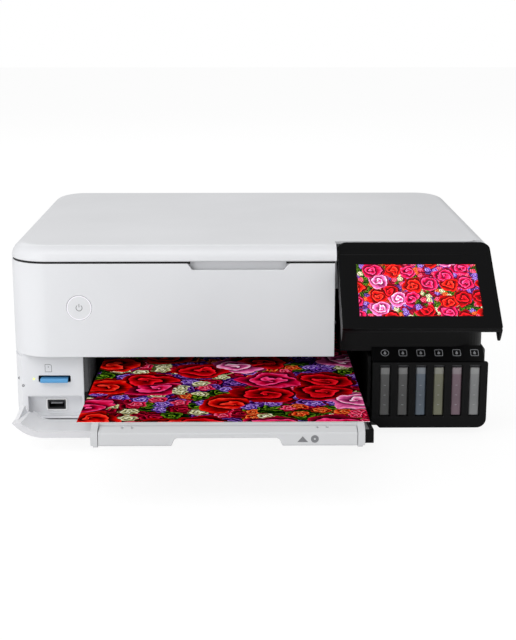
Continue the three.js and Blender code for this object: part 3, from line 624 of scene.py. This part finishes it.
# the hollow curve from the ear down to the cover's floor, as (z, rise of the ear, reach along the floor)
SWEEP = ((17, 17.2, 26), (20, 17.6, 25), (34, 15.6, 18), (48, 12.8, 13), (60, 11.8, 10), (66.95, 11.4, 8))
SWEEP_TOP_X, SWEEP_FLOOR = -191.4, 5.0
END_LEFT, END_RIGHT = 70, 99.5


def sweep_ring(rise, reach):
    """One section of the hollow curve: a quarter of an ellipse over a flat base."""
    base = 4.2
    curve = [(SWEEP_TOP_X + reach * (1 - math.sin(math.radians(a))),
              SWEEP_FLOOR + (rise - SWEEP_FLOOR) * (1 - math.cos(math.radians(a)))) for a in range(0, 91, 9)]
    return curve + [(-193.6, rise), (-193.6, base), (SWEEP_TOP_X + reach, base)]


def make_front_cover():
    wall = prism("cover_wall", skin_outline(0, COVER_WALL, COVER_RIGHT, CORNER), COVER_LOW, COVER_HIGH)
    ear = prism("ear", EAR, EAR_OUTER, EAR_INNER, "x")
    carve(wall, block("back", -205, -150, EAR_BACK, 60, 0, 80),
          block("left", -205, EAR_OUTER, -1, 20, 0, 80), block("lower", -205, -186, -1, 20, 0, 16))
    fuse(wall, ear, loft("sweep", [(sweep_ring(rise, reach), z) for z, rise, reach in SWEEP]))
    outside = arc(BODY_LEFT + CORNER, CORNER, CORNER - 0.03, 180, 270, 20)
    outside += [(BODY_LEFT + CORNER, -4), (BODY_LEFT - 4, -4), (BODY_LEFT - 4, CORNER)]
    carve(wall, prism("outside", outside, COVER_LOW - 1, COVER_HIGH + 1))
    carve(wall, cylinder("dimple", "y", 4.5, 6, (-123, COVER_HIGH - 6), 2.4, 24))
    soften(wall, 1.1, 4)
    tilt(wall, *COVER_HINGE, COVER_OPEN)
    # the cover takes the lightened white: painted light against the shade of the body above
    place_piece(wall, "front_cover", FINISH["bright"], "white_shell", "front_cover")
    wall.data.materials.append(FINISH["rim_painted_shade"])
    for face in wall.data.polygons:
        if face.normal.y < -0.55:  # the outer rim, which looks forward, takes the darker white: painted shade
            face.material_index = 1

    end = block("cover_end", END_LEFT, END_RIGHT, 0, 6.3, COVER_LOW, COVER_HIGH)
    fuse(end, block("lip", END_LEFT, END_RIGHT, -5, 1, COVER_HIGH - 6, COVER_HIGH))
    carve(end, block("hollow", END_LEFT + 1.6, END_RIGHT - 1.6, 1.6, 8, COVER_LOW + 3, COVER_HIGH - 1.6))
    soften(end, 0.5, 3)
    tilt(end, *COVER_HINGE, COVER_OPEN)
    place_piece(end, "front_cover", FINISH["black"], "black_shell", "front_cover_end")
    # the floor inside the black end also takes the lightened white: painted light
    floor = block("cover_end_floor", END_LEFT + 1.7, END_RIGHT - 1.7, 1.7, 2.3,
                  COVER_LOW + 3.1, COVER_HIGH - 1.7)
    tilt(floor, *COVER_HINGE, COVER_OPEN)
    place_piece(floor, "front_cover", FINISH["bright"], "white_shell")


# ---- output tray, stopper and sheet ----
TRAY = span("output_tray")
TRAY_EDGE = -165.6  # y of the plate's front edge
EDGE_HEIGHT, SLOPE = 64.9, 0.0297  # the plate falls away towards the back
PLATE = 3
POST, RAIL = 5, 3  # widths of the two end posts and of the rails behind them
STOPPER_TOP, STOPPER_LOW = 61.8, 51.6
SLOTS = (-91, -84, 48, 55)
SHEET_GAP, SHEET_THICK = 0.45, 0.24


def tray_top(y):
    return EDGE_HEIGHT - SLOPE * (y - TRAY_EDGE)


def make_tray():
    (x0, x1), (y0, y1), _ = TRAY
    plate = [(TRAY_EDGE, tray_top(TRAY_EDGE)), (TRAY_EDGE, tray_top(TRAY_EDGE) - PLATE),
             (y1, tray_top(y1) - PLATE), (y1, tray_top(y1))]
    tray = prism("tray", plate, x0, x1, "x")
    lip = [(TRAY_EDGE, 65), (TRAY_EDGE, 55.5), (-166.4, 55.5), (-166.4, 64.2), (-166.0, 65)]
    parts = [prism("lip", lip, x0, x1, "x")]
    post = [(TRAY_EDGE - 0.4, 65.5), (-168.5, 65.3), (y0 + 3.5, 63.4), (y0 + 0.6, 62.2), (y0, 61.2),
            (y0, 52.6), (y0 + 0.8, 50.8), (y0 + 2.6, 50.2), (TRAY_EDGE + 4, 50.2),
            (TRAY_EDGE + 8, 60), (TRAY_EDGE + 8, 64)]
    rail = [(TRAY_EDGE + 6, 62), (TRAY_EDGE + 6, 54), (y1, 50.5), (y1, tray_top(y1) - 1)]
    for x in (x0, x1 - POST):
        parts += [prism("post", post, x, x + POST, "x")]
    for x in (x0, x1 - RAIL):
        parts += [prism("rail", rail, x, x + RAIL, "x")]
    fuse(tray, *parts)
    for x in (x0 - 1, x1 - 1.6):
        carve(tray, block("foot_side", x, x + 2.6, y0 - 1, y0 + 9, 49, 52))
    soften(tray, 0.5, 3)
    # the tray takes the darkened white: painted shade
    place_piece(tray, "output_tray", FINISH["tray"], "white_shell", "output_tray")


def make_stopper():
    (x0, x1), (y0, _), _ = TRAY
    face_y, top, low = y0 + 0.2, STOPPER_TOP, STOPPER_LOW
    face = [(face_y + 1.0, top), (face_y + 0.3, top - 0.5), (face_y, top - 1.4), (face_y, low + 1),
            (face_y + 0.8, low), (y0 + 3.2, low), (y0 + 3.2, top - 2.4), (-167, top - 0.8), (-167, top + 1.6)]
    stopper = prism("stopper", face, x0 + POST + 0.4, x1 - POST - 0.4, "x")
    notch = [(-58.0, 50), (22.2, 50), (19.4, 56.4), (17.2, 57.6), (-53.4, 57.6), (-55.4, 56.4)]
    carve(stopper, prism("notch", notch, y0 - 1, y0 + 3.3, "y"))
    for x in SLOTS:
        carve(stopper, block("slot", x - 2.0, x - 0.6, -170.8, -168.0, 61, 65))
    soften(stopper, 0.5, 3)
    # the stopper takes the darkened white: painted shade
    place_piece(stopper, "tray_stopper", FINISH["tray"], "white_shell", "tray_stopper")
    mark_front, mark_back = y0 + 0.08, y0 + 0.5
    triangle = prism("triangle_mark", [(31.9, 54.6), (39.5, 54.6), (35.7, 58.9)], mark_front, mark_back, "y")
    place_piece(triangle, "tray_stopper", FINISH["mark"], "white_shell")
    disc = ring_mark("disc_mark", 44.3, 56.9, 1.75, 2.1, mark_front, mark_back)
    place_piece(disc, "tray_stopper", FINISH["mark"], "white_shell")


def make_sheet():
    """The print: its picture is on top only, and its reds don't tint the white body."""
    (x0, x1), (y0, y1), _ = span("printed_sheet")
    front, back = tray_top(y0) + SHEET_GAP, tray_top(y1) + SHEET_GAP
    profile = [(y0, front), (y1, back), (y1, back + SHEET_THICK), (y0, front + SHEET_THICK)]
    sheet = prism("sheet", profile, x0, x1, "x")
    place_piece(sheet, "printed_sheet", FINISH["print"], "print_paper", "printed_sheet")
    sheet.data.materials.append(FINISH["paper"])
    for face in sheet.data.polygons:
        face.material_index = 0 if face.normal.z > 0.7 else 1
    sheet.visible_diffuse = False


# ---- control panel ----
PANEL_LEFT, PANEL_RIGHT, PANEL_HEIGHT = 72, 199, 94
SCREEN_LEFT, SCREEN_RIGHT = 86.4, 185.2
SCREEN_DROPS = (81.1, 24.8)  # the screen's lower and upper edge below the panel's top
BORDER = 6  # from the panel's side to the deep part of its back
KNUCKLES = (94, 167)


def on_panel(obj):
    """Leans a piece, made upright, back about the panel's pin."""
    return tilt(obj, PIN_Y, PIN_Z, -PANEL_TILT)


def make_panel():
    x0, x1 = PANEL_LEFT, PANEL_RIGHT
    top = PIN_Z + 19.6
    bottom = top - PANEL_HEIGHT
    face = PIN_Y - 10
    screen_low, screen_high = [top - drop for drop in SCREEN_DROPS]
    outline = rounded(x0, x1, bottom, top, (2, 2, 8, 8), 10)
    plate = prism("panel_face", outline, face, face + 2.4, "y")
    carve(plate, block("window", SCREEN_LEFT, SCREEN_RIGHT, face - 1, face + 4, screen_low, screen_high),
          block("groove", x0 + 1, x1 - 1, face - 1, face + 0.5, top - 14.7, top - 14.1))
    soften(plate, 0.5, 3)
    on_panel(plate)
    place_piece(plate, "control_panel", FINISH["gloss"], "panel_gloss", "touch_panel")

    back = face + 2.6
    shell = prism("panel_back", rounded(x0, x1, bottom, top - 0.6, (2, 2, 8, 8), 8), back, face + 5, "y")
    deep = block("deep", x0 + BORDER, x1 - BORDER, back, face + 16, top - 44, top - 3)
    fuse(shell, deep)
    carve(shell, block("room", x0 + 8, x1 - 8, face + 5, 20, top - 42, top - 5))
    cheek = [(back, top - 3), (face + 12, top - 7), (face + 16.8, bottom + 14), (face + 17.5, bottom + 8),
             (face + 17.5, bottom + 2.5), (face + 16.6, bottom + 0.8), (face + 14.8, bottom + 0.4),
             (face + 12, bottom), (back, bottom)]
    fuse(shell, *[prism("cheek", cheek, x, x + 2, "x") for x in (x0, x1 - 2)])
    for x in KNUCKLES:
        fuse(shell, cylinder("knuckle", "x", x, x + 10, (PIN_Y, PIN_Z), 4.4, 24))
        fuse(shell, block("stem", x, x + 10, face + 4.5, PIN_Y, PIN_Z - 4, PIN_Z + 4))
    carve(shell, cylinder("bore", "x", x0 + 9, x1 - 9, (PIN_Y, PIN_Z), 2.8, 24))
    soften(shell, 0.4, 2)
    on_panel(shell)
    place_piece(shell, "control_panel", FINISH["black"], "black_shell", "panel_housing")
    # a pale strip down the panel's left edge: a painted highlight on the edge, in the light mark colour
    line = rounded(x0 + 0.05, x0 + 0.75, bottom + 1.5, top - 9, (0.3,) * 4, 3)
    edge_highlight = prism("panel_edge_painted_highlight", line, face + 0.1, face + 1.2, "y")
    place_piece(on_panel(edge_highlight), "control_panel", FINISH["light_mark"], "panel_gloss")
    dress("lcd_screen", FINISH["screen"], 0.0)  # flat: its edges are hidden in the window


# ---- ink tanks ----
INKS = [(88, 88, 88), (86, 86, 86), (96, 108, 122), (122, 122, 100), (124, 100, 112), (140, 141, 142)]
INK_FIRST, INK_PITCH = 112.8, 15.13  # x of the first window's middle, and from one to the next
WINDOW_HALF, WINDOW_LOW, WINDOW_HIGH = 4.5, 16, 60.6
INK_LEVEL = 53.0
TICK_TOP, TICK_STEP, TICKS = 42.6, 8.6, 3


def ink_x(ink):
    return INK_FIRST + ink * INK_PITCH


def make_tanks():
    (x0, x1), _, (z0, z1) = span("tank_window_cover")
    outline = [(x0 + 7, z0)] + arc(x1 - 8, z0 + 8, 8, 270, 360, 8) + [(x1, z1 - 1)]
    outline += [(x1 - 1, z1), (x0 + 1, z1), (x0, z1 - 1), (x0, z0 + 6), (x0 + 3.5, z0 + 3.5)]
    cover = prism("window_cover", outline, 0, 4, "y")
    windows = []
    for ink in range(len(INKS)):
        x = ink_x(ink)
        window = rounded(x - WINDOW_HALF, x + WINDOW_HALF, WINDOW_LOW, WINDOW_HIGH, (0.8,) * 4, 3)
        windows.append(prism("window", window, -1, 6, "y"))
    carve(cover, *windows)
    soften(cover, 0.8, 3)
    place_piece(cover, "chassis", FINISH["black"], "black_shell", "tank_window_cover")

    for ink, colour in enumerate(INKS):
        x = ink_x(ink)
        outline = rounded(x - 4.3, x + 4.3, 2.2, 4.5, (1.2, 1.2, 0, 0), 4)
        column = prism(f"ink_column_{ink + 1}", outline, 16.4, 58.0)
        soften(column, 0.2, 2)
        place_piece(column, "chassis", ink_material(ink + 1, colour), "tank_plastic")
        for step in range(TICKS):
            z = TICK_TOP - TICK_STEP * step
            tick = block(f"ink_tick_{ink + 1}_{step + 1}", x - 0.9, x + 0.9, 2.1, 2.3, z - 0.15, z + 0.15)
            place_piece(tick, "chassis", FINISH["light_mark"], "tank_plastic")


def ink_material(number, colour):
    """Ink seen through a smoked tank wall: paler above the ink's level, with a little clouding."""
    n = Nodes(f"ink_{number}")
    split = n.add("ShaderNodeSeparateXYZ")
    n.link(n.coords, split.inputs[0])
    body = linear(*colour)
    pale = linear(*[min(255, c * 0.5 + 88) for c in colour])
    dark = linear(*[c * 0.9 for c in colour])
    height = n.math("DIVIDE", split.outputs["Z"], INK_LEVEL * MM)
    cloud = n.noise(n.mapping((60, 60, 25)), 1.0, 2.0)
    height = n.math("MULTIPLY_ADD", n.math("SUBTRACT", cloud, 0.5), 0.02, height)
    n.set(color=n.ramp(height, [(0.3, body), (0.6, dark), (0.985, body), (0.995, pale)]),
          roughness=0.28, coat=0.3, coat_roughness=0.15)
    n.bump(n.noise(n.coords, 500, 2.0), 0.15, 0.02)
    return n.material


SHELF_FRONT, SHELF_BACK = (0.4, 64.0), (14.0, 74.2)  # y and z of the sloping shelf's two edges
MARK_Y, MARK_THICK = 7.6, 0.12
MARK_OUTER, MARK_INNER = 3.5, 3.0


def make_ink_marks():
    """A drop in a ring or a rounded square for each ink, on the sloping shelf above the windows."""
    run, climb = SHELF_BACK[0] - SHELF_FRONT[0], SHELF_BACK[1] - SHELF_FRONT[1]
    mark_z = SHELF_FRONT[1] + (MARK_Y - SHELF_FRONT[0]) * climb / run + 0.05
    for ink in range(len(INKS)):
        if ink == 0:
            outer = arc(0, 0, MARK_OUTER, 0, 360, 32)[:-1]
            inner = arc(0, 0, MARK_INNER, 0, 360, 32)[:-1]
        else:
            outer = rounded(-MARK_OUTER, MARK_OUTER, -MARK_OUTER, MARK_OUTER, (1.2,) * 4, 5)
            inner = rounded(-MARK_INNER, MARK_INNER, -MARK_INNER, MARK_INNER, (0.8,) * 4, 5)
        ring = prism(f"ink_mark_{ink + 1}", outer, 0, MARK_THICK)
        carve(ring, prism("bore", inner, -1, 1))
        outline = arc(0, -0.5, 1.15, -215, 35, 14) + [(0, 1.9)]
        drop = prism(f"ink_drop_{ink + 1}", outline, 0, MARK_THICK)
        for mark in (ring, drop):
            mark.data.transform(Matrix.Translation((0, -FRONT, 0)))
            mark.data.transform(Matrix.Rotation(math.atan2(climb, run), 4, "X"))
            mark.data.transform(Matrix.Translation(at(ink_x(ink), MARK_Y, mark_z)))
            place_piece(mark, "chassis", FINISH["light_mark"], "black_shell")


# ---- card slot, port and their marks ----
PORT_LEFT, PORT_RIGHT = -191.0, -141.8
PORT_FACE, PORT_DEEP = 10, 18  # y of the upper face, and of the wall round the USB socket
LEDGE, PORT_TOP = 33, 68.2
CARD, SOCKET = span("memory_card"), span("usb_port")
LAMP = (-183.9, 46.8)
ICON = (-171.4, 56.2)


def grown(x_span, z_span, side, below, above, radius, steps=4):
    """A rounded outline round two spans, larger by a margin at the sides, below and above."""
    return rounded(x_span[0] - side, x_span[1] + side, z_span[0] - below, z_span[1] + above,
                   (radius,) * 4, steps)


def make_port_panel():
    left, right, face, deep, ledge = PORT_LEFT, PORT_RIGHT, PORT_FACE, PORT_DEEP, LEDGE
    shelf = [(face, ledge), (face + 0.6, ledge - 2), (deep + 2, ledge - 3.4), (deep + 2, ledge)]
    right_cheek = [(face, ledge), (8.2, 14), (8.2, 12.8), (deep + 1, 12.8), (deep + 1, ledge)]
    left_cheek = [(face, ledge), (12.4, 12.8), (deep + 1, 12.8), (deep + 1, ledge)]
    panel = block("card_panel", left, right, face, face + 2.5, ledge - 1, PORT_TOP)
    fuse(panel, prism("ledge", shelf, left, right, "x"),
         block("low_wall", left, right, deep, deep + 2.4, 12.6, ledge),
         block("floor", left, right, 7.2, deep + 2.4, 12.8, 14.6),
         prism("cheek", right_cheek, right - 1.6, right, "x"),
         prism("left_cheek", left_cheek, left, left + 1.4, "x"))
    slot = grown(CARD[0], CARD[2], 2.4, 1.6, 2.0, 0.9)
    port = grown(SOCKET[0], SOCKET[2], 0.6, 0.5, 0.5, 1.0)
    carve(panel, prism("slot", slot, face - 1, face + 4, "y"), prism("port", port, deep - 1, deep + 4, "y"))
    soften(panel, 0.6, 3)
    place_piece(panel, "chassis", FINISH["white"], "white_shell", "card_port_panel")


def make_card():
    """The memory card with its finger tab, and the dark pocket it slides into."""
    (x0, x1), _, (z0, z1) = CARD
    card = prism("card", rounded(x0, x1, 9.6, 38, (0, 0, 0, 0), 4), z0, z1)
    tab = [(6.2, z1 - 0.2), (5.6, z1 - 0.9), (5.4, z0 + 0.4), (5.9, z0 - 1.0), (9.4, z0 - 1.0), (9.8, z1)]
    fuse(card, prism("tab", tab, x0 - 0.3, x1 + 0.3, "x"))
    soften(card, 0.45, 3)
    place_piece(card, "memory_card", FINISH["card"], "card_plastic", "memory_card")
    pocket = block("card_pocket", x0 - 4, x1 + 4, 11.6, 40, z0 - 3, z1 + 3.4)
    carve(pocket, block("room", x0 - 2.4, x1 + 2.4, 10, 39, z0 - 1.6, z1 + 2.0))
    place_piece(pocket, "chassis", FINISH["navy"], "black_shell")

    lamp = cylinder("access_lamp", "y", 9.8, 12, LAMP, 0.8, 20)
    place_piece(lamp, "chassis", FINISH["lamp"], "white_shell")


def card_outline(half_width, half_height, cut_x, cut_z):
    """The card icon: a rectangle with its top right corner cut off."""
    x, z = ICON
    return [(x - half_width, z - half_height), (x + half_width, z - half_height), (x + half_width, z + cut_z),
            (x + cut_x, z + half_height), (x - half_width, z + half_height)]


def make_card_icon():
    x, z = ICON
    low, high = 9.9, 10.2
    icon = prism("card_icon", card_outline(2.9, 3.4, 1.6, 2.2), low, high, "y")
    carve(icon, prism("bore", card_outline(2.55, 3.05, 1.45, 2.05), 8, 12, "y"))
    place_piece(icon, "chassis", FINISH["mark"], "white_shell")
    dot = block("card_icon_contact", x - 0.3, x + 0.3, low, high, z + 0.6, z + 1.5)
    place_piece(dot, "chassis", FINISH["mark"], "white_shell")


def make_socket():
    (x0, x1), _, (z0, z1) = SOCKET
    rim_painted_shade = prism("usb_rim", grown((x0, x1), (z0, z1), 1.5, 1.3, 1.3, 1.6, 5), 17.3, 18.4, "y")
    carve(rim_painted_shade, prism("bore", grown((x0, x1), (z0, z1), 0.3, 0.3, 0.3, 0.8), 16, 20, "y"))
    soften(rim_painted_shade, 0.35, 2)
    place_piece(rim_painted_shade, "chassis", FINISH["ring"], "white_shell")
    shell = prism("usb_shell", rounded(x0, x1, z0, z1, (0.8,) * 4, 4), 17.4, 34, "y")
    carve(shell, block("socket", x0 + 1.0, x1 - 1.0, 16, 32, z0 + 1.0, z1 - 1.0))
    soften(shell, 0.3, 2)
    place_piece(shell, "chassis", FINISH["dark"], "steel", "usb_port")
    tongue = block("usb_tongue", x0 + 2.4, x1 - 2.4, 18.4, 33, z0 + 4.4, z0 + 6.0)
    soften(tongue, 0.2, 2)
    place_piece(tongue, "chassis", FINISH["mark"], "steel")


# ---- inside of the paper bay, and the rear ----
BAY_X = -138.0  # the open side of the plate
BAY_LOW, BAY_HIGH = 36, 65.6


def make_bay_plate():
    """The grey plate on the left of the paper bay, with upright grooves, and its front flange."""
    plate = block("bay_side_plate", BAY_X - 0.7, BAY_X, 8.4, 73, BAY_LOW, BAY_HIGH)
    flange = block("bay_flange", BAY_X - 3.2, BAY_X, 7.9, 8.38, BAY_LOW, BAY_HIGH)
    soften(flange, 0.1, 2)
    place_piece(flange, "chassis", FINISH["flange"], "dark_frame")
    carve(plate, *[block("groove", BAY_X - 0.3, BAY_X + 1, y, y + 1.2, 35, 60) for y in (24, 40, 56)])
    soften(plate, 0.2, 2)
    place_piece(plate, "chassis", FINISH["bay"], "dark_frame")


def make_duplex_cover():
    """The rear cover: hollow in front, with grooves and two finger grips behind."""
    (x0, x1), (y0, y1), (z0, z1) = span("duplex_cover")
    border = 6
    cover = block("duplex_shell", x0, x1, y0, y1, z0, z1)
    carve(cover, block("path", x0 + border, x1 - border, y0 - 1, y1 - 2.6, z0 + border, z1 - border))
    grooves = [block("groove", x0 + 30, x1 - 30, y1 - 0.7, y1 + 1, z, z + 1.2)
               for z in (z0 + 16, z0 + 22, z0 + 56, z0 + 62)]
    grips = [prism("grip", rounded(x - 9, x + 9, z0 + 28, z0 + 50, (3,) * 4, 5), y1 - 1.6, y1 + 1, "y")
             for x in (x0 + 16, x1 - 16)]
    carve(cover, *grooves, *grips)
    soften(cover, 0.8, 3)
    place_piece(cover, "duplex_cover", FINISH["dark"], "dark_frame", "duplex_cover")


# ---- CAD nodes that keep their shape ----
FLAT_ANGLE = 0.5  # degrees; faces nearer than this to one plane are joined before rounding


def dress(node, material, width=0.35):
    """Gives a CAD node a material, rounded edges and smooth shading; its own vertices stay."""
    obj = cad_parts[node]
    obj.data.materials.clear()
    obj.data.materials.append(material)
    for face in obj.data.polygons:
        face.use_smooth = True
        face.material_index = 0
    if width:
        flat = obj.modifiers.new("flat", "DECIMATE")
        flat.decimate_type = "DISSOLVE"
        flat.angle_limit = math.radians(FLAT_ANGLE)
        round_edges(obj, width, 2, HARD_EDGE, NODE_WEIGHT)


def dress_frame():
    finishes = {
        "white": ["left_cover", "right_cover", "rear_housing", "scanner_housing",
                  "feeder_guard", "paper_support"],
        "black": ["tank_housing", "ac_inlet", "maintenance_box"],
        "inside": ["carriage", "platen", "scan_carriage", "bay_liner", "cassette_upper", "cassette_lower"],
        "dark": ["base_frame", "edge_guide_left", "edge_guide_right"],
        "steel": ["panel_hinge_pin", "carriage_rail", "carriage_motor", "motor_pulley", "idler_pulley",
                  "feed_motor", "power_supply"],
        "rubber": ["carriage_belt", "feed_roller", "output_roller"]
                  + [f"foot_{end}_{side}" for end in ("front", "rear") for side in ("left", "right")],
        "cap": [f"tank_cap_{i}" for i in range(1, 7)],
        "gear": ["feed_gear"], "circuit": ["main_board"], "glass": ["scanner_glass"],
        "foam": ["document_mat"], "tube": ["ink_tube_ribbon", "ink_tank_block"],
    }
    for finish, nodes in finishes.items():
        for node in nodes:
            dress(node, FINISH[finish])


def make_screen_material():
    n = Nodes("lit_display")
    flat = n.mapping((1, 1, 1), rotation=(math.radians(PANEL_TILT - 90), 0, 0))
    picture = flowers(n, flat, SCREEN_FLOWER)
    pixels = n.noise(n.coords, 1800, 1.0)
    n.set(color=linear(8, 8, 9), roughness=0.15, specular=0.1, glow_color=n.deepen(picture, 1.25), glow=1.9)
    n.bump(pixels, 0.02, 0.002)
    FINISH["screen"] = n.material


make_screen_material()
make_lid()
make_fascia()
make_button()
make_front_cover()
make_tray()
make_stopper()
make_sheet()
make_panel()
make_tanks()
make_ink_marks()
make_port_panel()
make_card()
make_card_icon()
make_socket()
make_bay_plate()
make_duplex_cover()
dress_frame()


# ---- floor, light and camera ----
ROOM_LIGHT = 0.5
WHITE = (1.0, 1.0, 1.0, 1.0)
LIGHTS = {  # metres and watts: place, target, size, power
    "key_left": ((-1.6, -1.5, 1.5), (0, -0.1, 0.08), (1.6, 1.6), 13.9),
    "front_low": ((-1.2, -2.2, 0.35), (0, -0.1, 0.1), (1.4, 0.6), 10.5),
    "high_front": ((-0.3, -1.3, 2.0), (0, -0.15, 0.12), (1.8, 1.0), 13.7),
    "back": ((-0.5, 2.0, 1.6), (0, 0, 0.1), (2.0, 1.0), 9.2),
}
CAMERA_PLACE = (-4.298, -1062.333, 360.159)  # millimetres
LOOK_DOWN, LOOK_RIGHT = 13.753, 0.541  # degrees
LENS, SENSOR = 74.025, 36


def ground(name, z, colour, glow):
    """A wide sheet under the printer, with a barely uneven matt surface."""
    reach = 6.0
    corners = ((-reach, -reach), (reach, -reach), (reach, reach), (-reach, reach))
    bm = bmesh.new()
    bm.faces.new([bm.verts.new((x, y, z)) for x, y in corners])
    sheet = new_object(name, bm)
    n = Nodes(name + "_white")
    grain = n.noise(n.coords, 3.0, 2.0)
    pale = tuple(min(1.0, c * 1.02) for c in colour)
    n.set(color=n.ramp(grain, [(0.3, colour), (0.7, pale)]), roughness=0.9, specular=0.0,
          glow=glow, glow_color=WHITE)
    sheet.data.materials.append(n.material)
    return sheet


def make_stage():
    """The camera sees a bright sweep; the printer is lit by a white floor that the camera doesn't see."""
    sweep = ground("floor", -0.0002, (0.14, 0.14, 0.14, 1.0), 0.9)
    sweep.visible_diffuse = False
    sweep.visible_glossy = False
    sweep.visible_transmission = False
    sweep.visible_shadow = False
    bounce = ground("bounce_floor", -0.0006, (0.9, 0.9, 0.9, 1.0), 0.0)
    bounce.visible_camera = False

    world = bpy.data.worlds.new("studio")
    world.use_nodes = True
    tree = world.node_tree
    soft = tree.nodes["Background"]
    soft.inputs["Color"].default_value = WHITE
    soft.inputs["Strength"].default_value = ROOM_LIGHT
    seen = tree.nodes.new("ShaderNodeBackground")
    seen.inputs["Color"].default_value = WHITE
    path = tree.nodes.new("ShaderNodeLightPath")
    choice = tree.nodes.new("ShaderNodeMixShader")
    tree.links.new(path.outputs["Is Camera Ray"], choice.inputs["Fac"])
    tree.links.new(soft.outputs["Background"], choice.inputs[1])
    tree.links.new(seen.outputs["Background"], choice.inputs[2])
    tree.links.new(choice.outputs["Shader"], tree.nodes["World Output"].inputs["Surface"])
    bpy.context.scene.world = world
    bpy.context.scene.view_settings.view_transform = "Standard"


def area_light(name, place, target, size, power):
    data = bpy.data.lights.new(name, "AREA")
    data.shape = "RECTANGLE"
    data.size, data.size_y = size
    data.energy = power
    light = bpy.data.objects.new(name, data)
    light.location = place
    light.rotation_euler = (Vector(target) - Vector(place)).to_track_quat("-Z", "Y").to_euler()
    bpy.context.scene.collection.objects.link(light)


def make_lights():
    for name, (place, target, size, power) in LIGHTS.items():
        area_light(name, place, target, size, power)


def make_camera():
    data = bpy.data.cameras.new("camera")
    data.lens = LENS
    data.sensor_width = SENSOR
    camera = bpy.data.objects.new("camera", data)
    camera.location = at(*CAMERA_PLACE)
    camera.rotation_euler = (math.radians(90 - LOOK_DOWN), 0, math.radians(-LOOK_RIGHT))
    bpy.context.scene.collection.objects.link(camera)
    bpy.context.scene.camera = camera


make_stage()
make_lights()
make_camera()
